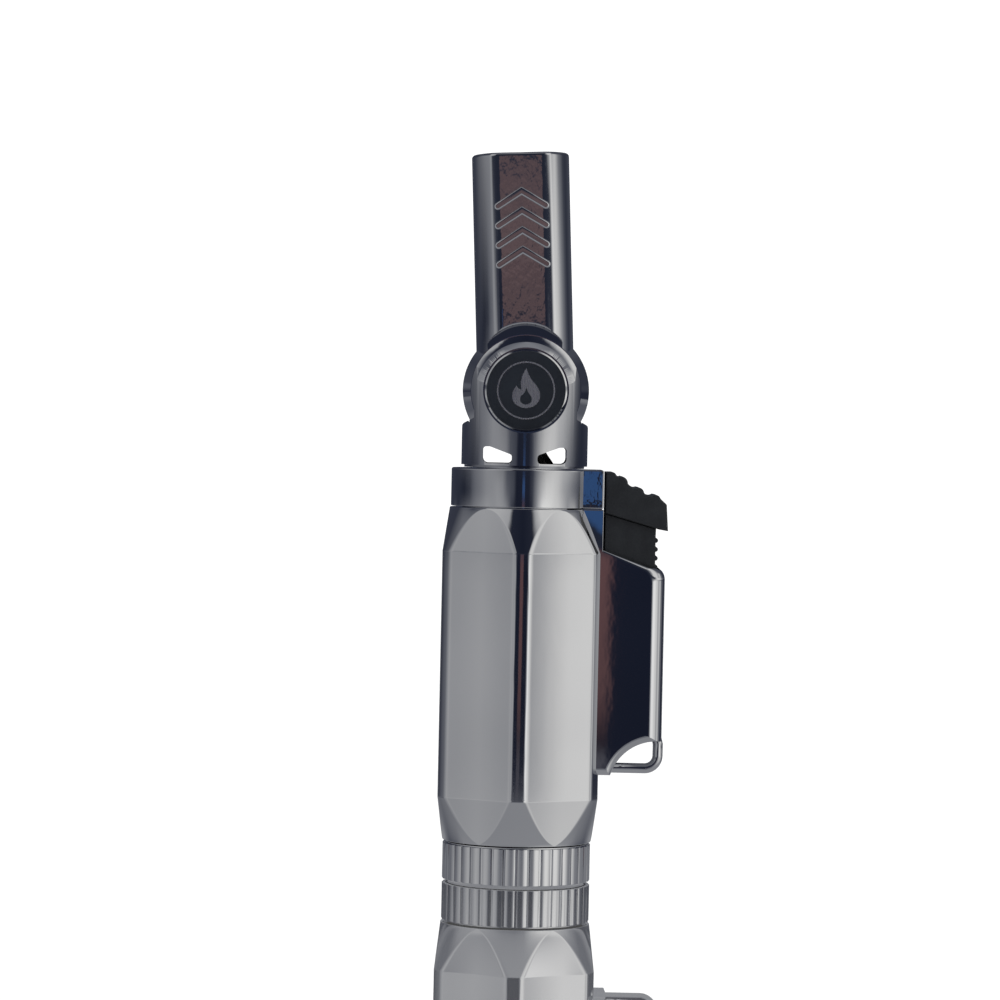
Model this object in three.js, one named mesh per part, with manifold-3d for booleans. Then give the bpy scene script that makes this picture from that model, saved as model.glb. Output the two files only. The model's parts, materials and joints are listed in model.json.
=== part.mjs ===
// Refillable pocket torch with a tilting head, for lampwork and other small glass jobs.
// Millimetres. +Z is up, the origin is the centre of the foot and +X points at the thumb trigger.
// The head is stored leaning slightly away from the trigger, as the real one is left by a thumb.

import * as THREE from 'three';
import { mergeVertices } from 'three/addons/utils/BufferGeometryUtils.js';
import Module from 'manifold-3d';

const wasm = await Module();
wasm.setup();

// ---------------------------------------------------------------- driving dimensions

const GAP = 0.3; // clearance that neighbouring pieces keep
const SKIN = 0.1; // clearance between two flat faces
const ROUND = 40; // sides on a large turned face
const SMALL = 12; // sides on a small turned face
const OVER = 1; // how far a cutter runs past what it cuts
const FAR = 160; // beyond every piece, for cutters that run right through
const WIDE = 30; // wider than every piece, for cutters that run right across

const foot = { radius: 13.8, edge: 0.3, height: 0.9, postRadius: 7.5, postTop: 11.2 };
const ring = { radius: 14.8, rib: 0.42, ribs: 38, bore: 7.9, bottom: 1.2, skirt: 0.4, top: 7.2 };
const ramp = { inner: 9.2, outer: 12.2, low: 7.2, rise: 1.2, steps: 12, sweep: 270 };
const regulator = { place: 10.7, radius: 0.8, top: 15 };
const fill = { y: 4.4, radius: 1.9, bore: 1.2, bottom: 0.6, top: 13 };
const baseScrew = { x: 4.4, y: -2.8, radius: 1, head: 1.9 };

const shell = {
  bottom: 8.2, waist: 17.2, shoulder: 66, top: 74.75,
  radius: 17.6, apothem: 15.96, footRadius: 14.9, neckRadius: 14.7, bore: 13.6, neckBore: 12.3,
};
const housing = { outer: 28.4, half: 8.5, corner: 3, spine: 15.9, spineTop: 66.8, lipTop: 62.9 };
const scoop = { x: 27.5, z: 19.4, radius: 9.6, tip: 22.4 };
const pocket = { inner: 15.9, outer: 27.2, half: 7.1, floor: 31.5 };
const leverSlot = { half: 2.6, bottom: 62.8, top: 71.6 };

const collar = { radius: 14.5, bottom: 74.95, top: 82.6, edge: 0.4, block: 15.8, bore: 10.6, hole: 9.7 };
const spigot = { radius: 11.9, bottom: 71.8 };
const pivotZ = 98.1;
const fork = {
  radius: 12.6, bottom: 83.2, flange: 12, inner: 11.4, boreTop: 87.2, slot: 5.95,
  shoulder: 91.3, shoulderTop: 92.5, waist: 10.2, eye: 10.9, neck: 9.4, neckBore: 8.4, neckBottom: 79.2,
};
const nut = { radius: 10.35, bottom: 79.4, top: 80.9 };
const badge = { radius: 8.2, seat: 8.5, face: 9.3 };
const pin = { radius: 3, inner: 2.6, outer: 8.4 };
const vent = { inner: 2.5, outer: 8.3, low: 83.6, high: 86.9 };

const head = {
  lean: -2.5, radius: 9.7, flat: 8, length: 47.2, edge: 0.7, bore: 7.3, boreFloor: 15,
  knuckle: 12.6, cheek: 5.4, chamfer: 1.6, groove: 11.9, dish: 13.1, dishFloor: 6.8, slot: 2.3, slotReach: 86,
};
const chevron = { first: 7, pitch: 3.87, count: 4, half: 5.35, drop: 3.3, width: 1.5, height: 0.35 };
const burner = { radius: 4.2, bore: 3.6, flange: 7, bottom: 15.3, top: 40 };
const electrode = { x: 5.3, radius: 0.4, tube: 0.85, bottom: 16.7 };

const trigger = {
  inner: 16.25, stemOuter: 26.4, ribOuter: 26.85, stemHalf: 6.75, capHalf: 7.5, stemBottom: 58.3,
  ribs: 4, ribTop: 68.9, ribPitch: 1.77, ribHalf: 0.55,
};
const lug = { inner: 14.4, half: 1.9, bottom: 69.6, top: 71 };
const lever = { x: 4.6, z: 68.7, half: 0.6, outer: 15.5, arm: 1.6, hub: 3.3, tip: 0.9 };
const valve = { radius: 3.2, bore: 2.6, bottom: 50, top: 65.7, stem: 1.3, hole: 1.7, port: 63 };
const tank = { radius: 13, flat: 11, bottom: 12.4, top: 55.7, wall: 1.3, capTop: 58.4 };
const piezo = { x: 21.6, half: 3.4, halfY: 4.2, bottom: 31.8, top: 45, plunger: 2.5, flange: 3.3 };
const loop = { wire: 1.02, legX: 27.9, legTop: 28.6, bend: 2.6, runZ: 23.06, runEnd: 19.4, spigot: 0.6 };

const hoseRadius = 1.3;
const wireRadius = 0.55;

// ---------------------------------------------------------------- shared shape helpers

function toSolid(geometry) {
  geometry.deleteAttribute('normal');
  geometry.deleteAttribute('uv');
  const merged = mergeVertices(geometry, 1e-4);
  const corners = merged.index.array;
  const kept = [];
  for (let i = 0; i < corners.length; i += 3) {
    const [a, b, c] = [corners[i], corners[i + 1], corners[i + 2]];
    if (a !== b && b !== c && c !== a) kept.push(a, b, c);
  }
  const vertProperties = new Float32Array(merged.attributes.position.array);
  return new wasm.Manifold(new wasm.Mesh({ numProp: 3, vertProperties, triVerts: new Uint32Array(kept) }));
}

// Turns [radius, z] points, listed upwards round the outside, about the Z axis.
function turned(points, sides = ROUND) {
  const profile = points.map(([radius, z]) => new THREE.Vector2(radius, z));
  return toSolid(new THREE.LatheGeometry(profile, sides).rotateX(Math.PI / 2));
}

function rod(radius, bottom, top, sides = SMALL, x = 0, y = 0) {
  const solid = turned([[0, bottom], [radius, bottom], [radius, top], [0, top]], sides);
  return solid.translate([x, y, 0]);
}

function pipe(radius, bore, bottom, top, sides = ROUND) {
  return turned([[bore, bottom], [radius, bottom], [radius, top], [bore, top], [bore, bottom]], sides);
}

function block(x0, x1, y0, y1, z0, z1) {
  const geometry = new THREE.BoxGeometry(x1 - x0, y1 - y0, z1 - z0);
  return toSolid(geometry.translate((x0 + x1) / 2, (y0 + y1) / 2, (z0 + z1) / 2));
}

// Extrudes an outline drawn in the XZ plane from y0 to y1.
function plate(outline, y0, y1, curveSegments = 12) {
  const geometry = new THREE.ExtrudeGeometry(outline, { depth: y1 - y0, bevelEnabled: false, curveSegments });
  return toSolid(geometry.rotateX(Math.PI / 2).translate(0, y1, 0));
}

function outlineOf(points) {
  return new THREE.Shape(points.map(([x, z]) => new THREE.Vector2(x, z)));
}

// Turns [radius, y] points about the head's pivot axis, which runs along Y at the given height.
function turnedAcross(points, z, sides = ROUND) {
  return turned(points, sides).rotate([-90, 0, 0]).translate([0, 0, z]);
}

function axleRod(radius, y0, y1, z, sides = SMALL) {
  return turnedAcross([[0, y0], [radius, y0], [radius, y1], [0, y1]], z, sides);
}

function alongCurve(curve, radius, sides, steps) {
  const section = new THREE.Shape();
  for (let i = 0; i < sides; i += 1) {
    const angle = (2 * Math.PI * i) / sides;
    const point = [radius * Math.cos(angle), radius * Math.sin(angle)];
    if (i === 0) section.moveTo(...point);
    else section.lineTo(...point);
  }
  return toSolid(new THREE.ExtrudeGeometry(section, { steps, extrudePath: curve }));
}

function smoothRoute(points) {
  return new THREE.CatmullRomCurve3(points.map(([x, y, z]) => new THREE.Vector3(x, y, z)));
}

class Helix extends THREE.Curve {
  constructor(radius, bottom, top, turns) {
    super();
    Object.assign(this, { radius, bottom, top, turns });
  }

  getPoint(t, target = new THREE.Vector3()) {
    const angle = 2 * Math.PI * this.turns * t;
    const height = this.bottom + (this.top - this.bottom) * t;
    return target.set(this.radius * Math.cos(angle), this.radius * Math.sin(angle), height);
  }
}

function spring(radius, wire, bottom, top, turns) {
  return alongCurve(new Helix(radius, bottom + wire, top - wire, turns), wire, 4, turns * 8);
}

function bothEnds(solid) {
  return solid.add(solid.mirror([0, 1, 0]));
}

// ---------------------------------------------------------------- foot, adjuster and fill valve

function basePlate() {
  const plateSolid = turned([
    [0, 0], [foot.radius - foot.edge, 0], [foot.radius, foot.edge], [foot.radius, foot.height],
    [foot.postRadius, foot.height], [foot.postRadius, foot.postTop], [0, foot.postTop],
  ]);
  let solid = plateSolid.subtract(rod(fill.radius + GAP, -OVER, foot.postTop + OVER, SMALL, 0, fill.y));
  for (const side of [-1, 1]) {
    const x = side * baseScrew.x;
    const shank = rod(baseScrew.radius + GAP, -OVER, foot.postTop + OVER, SMALL, x, baseScrew.y);
    const seat = rod(baseScrew.head + GAP, -OVER, 1.8, SMALL, x, baseScrew.y);
    solid = solid.subtract(shank).subtract(seat);
  }
  return solid;
}

function baseScrewSolid(side) {
  const shank = rod(baseScrew.radius, 0.5, foot.postTop - 0.2);
  const headSolid = rod(baseScrew.head, 0.3, 1.7);
  const drive = block(-1.5, 1.5, -0.25, 0.25, 0, 0.8).add(block(-0.25, 0.25, -1.5, 1.5, 0, 0.8));
  return shank.add(headSolid).subtract(drive).translate([side * baseScrew.x, baseScrew.y, 0]);
}

function knurledOutline() {
  const pitch = (2 * Math.PI) / ring.ribs;
  const root = ring.radius - ring.rib;
  const stations = [[-0.36, ring.radius], [0.36, ring.radius], [0.42, root], [0.58, root]];
  const points = [];
  for (let i = 0; i < ring.ribs; i += 1) {
    for (const [share, radius] of stations) {
      const angle = pitch * (i + share);
      points.push([radius * Math.cos(angle), radius * Math.sin(angle)]);
    }
  }
  return outlineOf(points);
}

// The ramp lifts the regulator pin as the ring turns. It is cut in small steps, felt as clicks.
function ringRamp() {
  const stepAngle = ramp.sweep / ramp.steps;
  let solid = null;
  for (let i = 0; i < ramp.steps; i += 1) {
    const top = ramp.low + ramp.rise * (1 - (i + 0.5) / ramp.steps);
    const shape = new THREE.Shape();
    const start = THREE.MathUtils.degToRad(180 - ramp.sweep / 2 + i * stepAngle);
    const end = start + THREE.MathUtils.degToRad(stepAngle);
    shape.absarc(0, 0, ramp.outer, start, end, false);
    shape.absarc(0, 0, ramp.inner, end, start, true);
    const depth = top - ramp.low + OVER;
    const step = new THREE.ExtrudeGeometry(shape, { depth, bevelEnabled: false, curveSegments: 1 });
    const piece = toSolid(step.translate(0, 0, ramp.low - OVER));
    solid = solid ? solid.add(piece) : piece;
  }
  return solid;
}

function adjusterRing() {
  const depth = ring.top - ring.skirt;
  const geometry = new THREE.ExtrudeGeometry(knurledOutline(), { depth, bevelEnabled: false });
  const knurled = toSolid(geometry.translate(0, 0, ring.skirt));
  const footRoom = rod(foot.radius + GAP, 0, ring.bottom, ROUND);
  const bored = knurled.subtract(rod(ring.bore, 0, shell.bottom, ROUND)).subtract(footRoom);
  const lip = pipe(ring.radius - ring.rib, ramp.outer + 0.4, ring.top - 0.1, ring.top + 0.6);
  return bored.add(lip).add(ringRamp());
}

function regulatorPin() {
  const bottom = ramp.low + ramp.rise / 2 + GAP;
  return rod(regulator.radius, bottom, regulator.top, SMALL, -regulator.place, 0);
}

function fillValveBody() {
  const solid = pipe(fill.radius, fill.bore, fill.bottom, fill.top, SMALL)
    .add(rod(fill.bore + 0.1, fill.top - 1.6, fill.top))
    .subtract(rod(0.4, fill.top - 2, fill.top + OVER, 8));
  return solid.translate([0, fill.y, 0]);
}

function fillValveStem() {
  const solid = rod(0.8, 1.3, 6.6, 12).subtract(rod(0.4, 0, 5.8, 8));
  return solid.translate([0, fill.y, 0]);
}

function fillValveSpring() {
  return spring(0.7, 0.15, 6.9, 11.2, 5).translate([0, fill.y, 0]);
}

// ---------------------------------------------------------------- body shell and lanyard loop

function shellRadius(z) {
  if (z < shell.waist) {
    const share = (z - shell.bottom) / (shell.waist - shell.bottom);
    return shell.footRadius + (shell.radius - shell.footRadius) * share;
  }
  const share = Math.min(1, Math.max(0, (z - shell.shoulder) / (shell.top - 0.45 - shell.shoulder)));
  return shell.radius - (shell.radius - shell.neckRadius) * share ** 1.35;
}

function facetApothem(z) {
  if (z < shell.waist) {
    const share = (shell.waist - z) / (shell.waist - shell.bottom);
    return shell.apothem - (shell.apothem - shell.footRadius) * share ** 2;
  }
  const share = Math.max(0, (z - shell.shoulder) / (shell.top - shell.shoulder));
  return shell.apothem - (shell.apothem - shell.neckRadius) * share ** 1.5;
}

const shellLevels = [shell.bottom, 10.5, 13, shell.waist, shell.shoulder, 68.5, 70.8, 72.9, 74.3, shell.top];

function facetSlab(turn) {
  const right = shellLevels.map((z) => [facetApothem(z), z]);
  const left = shellLevels.map((z) => [-facetApothem(z), z]).reverse();
  return plate(outlineOf([...right, ...left]), -WIDE, WIDE).rotate([0, 0, turn]);
}

function housingOutline() {
  const reach = Math.sqrt(scoop.radius ** 2 - (housing.outer - scoop.x) ** 2);
  const tipDrop = scoop.tip - scoop.z;
  const tipX = scoop.x - Math.sqrt(scoop.radius ** 2 - tipDrop ** 2);
  const start = Math.atan2(tipDrop, tipX - scoop.x);
  const end = Math.atan2(reach, housing.outer - scoop.x);
  const shape = new THREE.Shape();
  shape.moveTo(10, scoop.tip - 0.3);
  shape.lineTo(tipX - 0.5, scoop.tip - 0.3);
  shape.absarc(scoop.x, scoop.z, scoop.radius, start, end, true);
  shape.lineTo(housing.outer, housing.lipTop - 2);
  shape.quadraticCurveTo(housing.outer, housing.lipTop - 0.2, housing.outer - 1.6, housing.lipTop + 0.4);
  shape.lineTo(housing.spine, housing.spineTop);
  shape.lineTo(10, housing.spineTop);
  return shape;
}

function housingPlan() {
  const { outer, half, corner } = housing;
  const shape = new THREE.Shape();
  shape.moveTo(8, -half);
  shape.lineTo(outer - corner, -half);
  shape.absarc(outer - corner, -half + corner, corner, -Math.PI / 2, 0, false);
  shape.absarc(outer - corner, half - corner, corner, 0, Math.PI / 2, false);
  shape.lineTo(8, half);
  return toSolid(new THREE.ExtrudeGeometry(shape, { depth: FAR, bevelEnabled: false, curveSegments: 6 }));
}

function shellCore() {
  let solid = turned([[0, shell.bottom], ...shellLevels.map((z) => [shellRadius(z), z]), [0, shell.top]], 60);
  for (const turn of [0, 60, 120]) {
    solid = solid.intersect(facetSlab(turn));
  }
  return solid;
}

function bodyShell() {
  const casing = plate(housingOutline(), -housing.half, housing.half).intersect(housingPlan());
  const spine = block(8, housing.spine, -housing.half, housing.half, 60, shell.top);
  const bore = turned([
    [0, 0], [shell.bore, 0], [shell.bore, 69.5], [shell.neckBore, 69.5], [shell.neckBore, FAR], [0, FAR],
  ]);
  const well = block(pocket.inner, pocket.outer, -pocket.half, pocket.half, pocket.floor, FAR);
  const { half, bottom, top } = leverSlot;
  const leverWindow = block(shell.bore - 2, pocket.inner + OVER, -half, half, bottom, top);
  const wireHole = block(12, pocket.inner + OVER, -5.8, -3.2, 46.8, 50.4);
  const legHole = rod(loop.spigot + GAP, 25, 30.7, 12, loop.legX - 0.6, 0);
  const runHole = rod(loop.spigot + GAP, 0, 3, 12).rotate([0, 90, 0]).translate([16.6, 0, loop.runZ]);
  return shellCore().add(casing).add(spine)
    .subtract(bore).subtract(well).subtract(leverWindow).subtract(wireHole)
    .subtract(legHole).subtract(runHole);
}

function lanyardLoop() {
  const { legX, legTop, bend, runZ, runEnd, wire } = loop;
  const route = new THREE.CurvePath();
  const corner = new THREE.Vector3(legX, 0, runZ);
  const legFoot = new THREE.Vector3(legX, 0, runZ + bend);
  const runStart = new THREE.Vector3(legX - bend, 0, runZ);
  route.add(new THREE.LineCurve3(new THREE.Vector3(legX, 0, legTop), legFoot));
  route.add(new THREE.QuadraticBezierCurve3(legFoot, corner.clone(), runStart));
  route.add(new THREE.LineCurve3(runStart, new THREE.Vector3(runEnd, 0, runZ)));
  const upper = rod(loop.spigot, legTop - OVER, 30.4, 12, legX - 0.6, 0);
  const inner = rod(loop.spigot, 0, 2.6, 12).rotate([0, 90, 0]).translate([runEnd - 2, 0, runZ]);
  return alongCurve(route, wire, 10, 18).add(upper).add(inner);
}

// ---------------------------------------------------------------- tank, gas valve and lever

function fuelTank() {
  const outside = rod(tank.radius, tank.bottom, tank.top, ROUND);
  const inside = rod(tank.radius - tank.wall, tank.bottom + tank.wall, tank.top + OVER, ROUND);
  const outerTrim = block(tank.flat, WIDE, -WIDE, WIDE, 0, FAR);
  const innerTrim = block(tank.flat - tank.wall, WIDE, -WIDE, WIDE, 0, FAR);
  return outside.subtract(outerTrim).subtract(inside.subtract(innerTrim))
    .subtract(rod(fill.radius + GAP, 0, 16, SMALL, 0, fill.y))
    .subtract(rod(regulator.radius + GAP, 0, 16, 12, -regulator.place, 0));
}

function tankCap() {
  const solid = rod(tank.radius, tank.top + 1, tank.capTop, ROUND);
  const trim = block(tank.flat, WIDE, -WIDE, WIDE, 0, FAR);
  return solid.subtract(trim).subtract(rod(valve.radius + GAP, 0, FAR));
}

function tankSeal() {
  const band = pipe(tank.radius - 0.2, tank.radius - 1.2, tank.top + SKIN, tank.top + 0.9);
  const outerTrim = block(tank.flat - 0.2, WIDE, -WIDE, WIDE, 0, FAR);
  const straight = block(tank.flat - 1.2, tank.flat - 0.2, -6.8, 6.8, tank.top + SKIN, tank.top + 0.9);
  return band.subtract(outerTrim).add(straight);
}

function outletValveBody() {
  const port = rod(1.1, 2.9, 6.2, 12).rotate([-90, 0, 0]).translate([0, 0, valve.port]);
  const portBore = rod(0.5, 2, 7, 8).rotate([-90, 0, 0]).translate([0, 0, valve.port]);
  return rod(valve.radius, valve.bottom, valve.top).add(port)
    .subtract(rod(valve.bore, 59, FAR)).subtract(portBore).subtract(rod(0.6, 40, 60, 8));
}

function valveGland() {
  return pipe(valve.radius, valve.hole, valve.top + SKIN, valve.top + 1.1, 6);
}

function valveStem() {
  const seat = rod(2.1, 59.6, 60.3);
  const collarTop = 70.2;
  const lift = rod(2.6, lug.bottom, collarTop);
  return rod(valve.stem, 59.6, collarTop, 12).add(seat).add(lift);
}

function valveSpring() {
  return spring(2, 0.25, 60.6, valve.top - SKIN, 5);
}

function leverBracket() {
  const deck = block(-5, 7, -4.7, 4.7, tank.capTop + SKIN, 59.6).subtract(rod(valve.radius + GAP, 0, FAR));
  const upright = block(lever.x - 1.3, lever.x + 1.3, 3.8, 4.7, 59, lever.z + 1.6);
  const pinBore = axleRod(1.15, -6, 6, lever.z, 12).translate([lever.x, 0, 0]);
  return deck.add(bothEnds(upright)).subtract(pinBore);
}

function leverPin() {
  return axleRod(0.85, -4.7, 4.7, lever.z, 12).translate([lever.x, 0, 0]);
}

function valveLever() {
  const [low, high] = [lever.z - lever.half, lever.z + lever.half];
  const hub = axleRod(1.7, -lever.hub, lever.hub, lever.z, SMALL).translate([lever.x, 0, 0]);
  const arm = block(lever.x, lever.outer, -lever.arm, lever.arm, low, high);
  const prong = block(lever.tip, lever.x, 1.65, lever.hub, low, high);
  const pinBore = axleRod(1.15, -6, 6, lever.z, 12).translate([lever.x, 0, 0]);
  return hub.add(arm).add(bothEnds(prong)).subtract(pinBore);
}

// ---------------------------------------------------------------- trigger and piezo igniter

// The thumb face falls away from the body in three rounded steps.
function triggerCapOutline() {
  const shape = new THREE.Shape();
  shape.moveTo(trigger.inner, 74.1);
  shape.lineTo(26.9, 71.1);
  shape.lineTo(28.75, 70.8);
  shape.lineTo(28.4, 76.05);
  shape.lineTo(27.15, 77.2);
  shape.quadraticCurveTo(26.9, 78.0, 25.8, 78.0);
  shape.quadraticCurveTo(25.2, 77.6, 24.55, 77.9);
  shape.lineTo(23.85, 78.3);
  shape.quadraticCurveTo(23.7, 79.3, 22.5, 79.4);
  shape.quadraticCurveTo(21.9, 79.1, 21.0, 79.7);
  shape.lineTo(20.6, 80.1);
  shape.quadraticCurveTo(20.5, 81.3, 19.3, 81.5);
  shape.quadraticCurveTo(18.7, 81.2, 18.25, 81.75);
  shape.lineTo(17.6, 82.3);
  shape.lineTo(trigger.inner, 82.3);
  return shape;
}

function triggerCap() {
  return plate(triggerCapOutline(), -trigger.capHalf, trigger.capHalf, 4);
}

function triggerStem() {
  const outline = outlineOf([
    [trigger.inner, trigger.stemBottom], [trigger.stemOuter, trigger.stemBottom],
    [trigger.stemOuter, 70.9], [trigger.inner, 73.75],
  ]);
  let solid = plate(outline, -trigger.stemHalf, trigger.stemHalf);
  for (let i = 0; i < trigger.ribs; i += 1) {
    const z = trigger.ribTop - trigger.ribPitch * i;
    const [low, high] = [z - trigger.ribHalf, z + trigger.ribHalf];
    solid = solid.add(block(trigger.inner, trigger.ribOuter, -trigger.stemHalf, trigger.stemHalf, low, high));
  }
  return solid.add(block(lug.inner, trigger.inner + OVER, -lug.half, lug.half, lug.bottom, lug.top));
}

function piezoHousing() {
  const [x0, x1] = [piezo.x - piezo.half, piezo.x + piezo.half];
  const bore = rod(piezo.plunger + GAP, 33.2, FAR, SMALL, piezo.x, 0);
  return block(x0, x1, -piezo.halfY, piezo.halfY, piezo.bottom, piezo.top).subtract(bore);
}

function piezoPlunger() {
  const crown = trigger.stemBottom - SKIN;
  const flange = rod(piezo.flange, crown - 0.9, crown);
  return rod(piezo.plunger, 38.5, crown).add(flange).translate([piezo.x, 0, 0]);
}

function triggerSpring() {
  return spring(3.05, 0.25, piezo.top + SKIN, 57.2, 6).translate([piezo.x, 0, 0]);
}

// ---------------------------------------------------------------- collar, fork and pivot

function collarCap() {
  const { radius, bottom, top, edge } = collar;
  const drum = turned([
    [0, spigot.bottom], [spigot.radius, spigot.bottom], [spigot.radius, bottom],
    [radius, bottom], [radius, top - edge], [radius - edge, top], [0, top],
  ]);
  const ledge = block(8, collar.block, -housing.half, housing.half, bottom, top);
  const bore = rod(collar.bore, 0, top - 1.4, ROUND);
  return drum.add(ledge).subtract(bore).subtract(rod(collar.hole, 0, FAR, ROUND));
}

function forkSilhouette() {
  const { radius, shoulder, shoulderTop, waist, eye } = fork;
  const meet = Math.asin(-Math.sqrt(eye ** 2 - waist ** 2) / eye);
  const shape = new THREE.Shape();
  shape.moveTo(radius + OVER, fork.neckBottom - OVER);
  shape.lineTo(radius + OVER, shoulder - 0.4);
  shape.lineTo(radius, shoulder);
  shape.lineTo(waist, shoulderTop);
  shape.absarc(0, pivotZ, eye, meet, Math.PI - meet, false);
  shape.lineTo(-waist, shoulderTop);
  shape.lineTo(-radius, shoulder);
  shape.lineTo(-radius - OVER, shoulder - 0.4);
  shape.lineTo(-radius - OVER, fork.neckBottom - OVER);
  return shape;
}

// Sloped band round the top of each ear, outside the badge.
function earBevelCutter() {
  const ringSolid = turnedAcross([
    [badge.radius + 0.2, 9.2], [9.6, 8.05], [10.9, 6.25], [15, 6.25], [15, 14], [badge.radius + 0.2, 14],
    [badge.radius + 0.2, 9.2],
  ], pivotZ);
  return bothEnds(ringSolid.intersect(block(-WIDE, WIDE, -WIDE, WIDE, pivotZ, FAR)));
}

function ventCutter() {
  const { inner, outer, low, high } = vent;
  const shape = new THREE.Shape();
  shape.moveTo(inner + 0.8, low);
  shape.lineTo(outer - 1.3, low);
  shape.quadraticCurveTo(outer, low + 0.4, outer, high - 1.4);
  shape.quadraticCurveTo(outer, high, outer - 1.2, high - 0.1);
  shape.lineTo(inner + 0.7, low + 1.9);
  shape.quadraticCurveTo(inner - 0.2, low + 0.9, inner + 0.8, low);
  const right = plate(shape, -WIDE, WIDE, 3);
  return right.add(right.mirror([1, 0, 0]));
}

function pivotFork() {
  const { radius, flange, inner, neck, neckBore, neckBottom, slot } = fork;
  const base = collar.top + 0.15;
  const column = turned([
    [0, neckBottom], [neck, neckBottom], [neck, base], [flange, base], [flange, fork.bottom],
    [radius, fork.bottom], [radius, FAR], [0, FAR],
  ]);
  const chamber = rod(inner, fork.bottom + 0.3, fork.boreTop, ROUND);
  const hollow = rod(neckBore, 0, fork.boreTop, ROUND).add(chamber);
  const knuckleRoom = axleRod(head.knuckle + 0.35, -slot, slot, pivotZ, ROUND);
  const aboveRoom = block(-WIDE, WIDE, -slot, slot, pivotZ, FAR);
  const seats = bothEnds(axleRod(badge.seat, badge.seat, WIDE, pivotZ, ROUND));
  return column.intersect(plate(forkSilhouette(), -WIDE, WIDE, 16))
    .subtract(hollow).subtract(knuckleRoom).subtract(aboveRoom).subtract(seats)
    .subtract(earBevelCutter()).subtract(ventCutter())
    .subtract(axleRod(pin.radius + GAP, -WIDE, WIDE, pivotZ));
}

function forkNut() {
  return pipe(nut.radius, fork.neck + GAP, nut.bottom, nut.top);
}

function badgeSolid(side) {
  const solid = axleRod(badge.radius, badge.seat + SKIN, badge.face, pivotZ, ROUND);
  return side < 0 ? solid.mirror([0, 1, 0]) : solid;
}

function pivotPin(side) {
  const solid = axleRod(pin.radius, pin.inner, pin.outer, pivotZ);
  return side < 0 ? solid.mirror([0, 1, 0]) : solid;
}

function frictionWasher(side) {
  const [y0, y1] = [head.cheek + SKIN, fork.slot - SKIN];
  const solid = turnedAcross([[3.4, y0], [8, y0], [8, y1], [3.4, y1], [3.4, y0]], pivotZ, 32);
  return side < 0 ? solid.mirror([0, 1, 0]) : solid;
}

function swivelCore() {
  const core = axleRod(2.2, -1.9, 1.9, pivotZ, SMALL);
  return core.add(rod(1, 93.6, pivotZ, 12, 0, 0.65)).subtract(rod(0.5, 90, pivotZ, 8, 0, 0.65));
}

function gasHose() {
  const route = smoothRoute([
    [0, 6.6, valve.port], [0, 7.6, valve.port], [1.2, 8.6, 66], [3, 7.4, 71], [4.7, 5.2, 76], [5.3, 3.6, 80],
    [4.8, 1.8, 82.8], [3.6, 0.8, 84.6], [2.2, 0.65, 86.8], [0.9, 0.65, 89.6], [0, 0.65, 93.3],
  ]);
  return alongCurve(route, hoseRadius, 8, 28);
}

function ignitionWire() {
  const route = smoothRoute([
    [17.8, -4.1, 48], [15.5, -4.5, 48], [13, -4.5, 48.2], [12, -4.6, 51], [11.9, -4.8, 56], [11, -5, 62],
    [8.6, -4.6, 68], [7.2, -4.4, 74], [5.8, -4, 79.5], [4.2, -2.4, 83], [2.6, -1.4, 85.4], [0.8, -1.4, 89],
    [0, -1.4, 95.3],
  ]);
  return alongCurve(route, wireRadius, 5, 32);
}

// ---------------------------------------------------------------- head, in its own frame from the pivot up

function barrelCasting() {
  const { radius, length, edge, flat, knuckle, cheek, chamfer } = head;
  const tube = turned([[0, 0], [radius, 0], [radius, length - edge], [radius - edge, length], [0, length]]);
  const slab = block(-WIDE, WIDE, -flat, flat, -OVER, length + OVER);
  const shoulder = cheek - chamfer * Math.tan(THREE.MathUtils.degToRad(60));
  const disc = turnedAcross([
    [0, -cheek], [knuckle - chamfer, -cheek], [knuckle, -shoulder], [knuckle, shoulder],
    [knuckle - chamfer, cheek], [0, cheek],
  ], 0);
  return tube.intersect(slab).add(disc);
}

function dishCutter() {
  const { cheek, flat, groove, dish, dishFloor } = head;
  const far = flat + OVER;
  const profile = [
    [0, cheek], [groove, cheek], [groove, dishFloor], [dish, dishFloor], [dish, far], [0, far],
  ];
  return bothEnds(turnedAcross(profile, 0));
}

// Lets the gas hose and the ignition wire reach the pivot at every tilt.
function hoseSlotCutter() {
  const reach = THREE.MathUtils.degToRad(head.slotReach);
  const [far, deep] = [WIDE * Math.sin(reach), WIDE * Math.cos(reach)];
  const outline = outlineOf([[0, 0], [-far, -deep], [-far, -WIDE], [far, -WIDE], [far, -deep]]);
  return plate(outline, -head.slot, head.slot);
}

function chevronRib(index) {
  const { first, pitch, half, drop, width, height } = chevron;
  const apex = head.length - first - pitch * index;
  const outline = outlineOf([
    [0, apex], [half, apex - drop], [half - width * 0.45, apex - drop - width * 0.75],
    [0, apex - width], [-half + width * 0.45, apex - drop - width * 0.75], [-half, apex - drop],
  ]);
  return bothEnds(plate(outline, head.flat - OVER * 0.4, head.flat + height));
}

function nozzleBarrel() {
  const bore = rod(head.bore, head.boreFloor, FAR, ROUND);
  const pinBore = bothEnds(axleRod(pin.radius + GAP, head.slot - 0.2, 10, 0));
  const coreRoom = axleRod(3.4, -head.slot, head.slot, 0);
  let solid = barrelCasting().subtract(dishCutter());
  for (let i = 0; i < chevron.count; i += 1) {
    solid = solid.add(chevronRib(i));
  }
  return solid.subtract(bore).subtract(pinBore).subtract(coreRoom).subtract(hoseSlotCutter())
    .subtract(rod(1.9, 0, 20, 12)).subtract(rod(electrode.radius + GAP, 10, 20, 8, electrode.x, 0));
}

function muzzleLiner() {
  const floor = burner.bottom + 1.3;
  return pipe(7, 6.5, floor, head.length - 0.6, 36);
}

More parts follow.
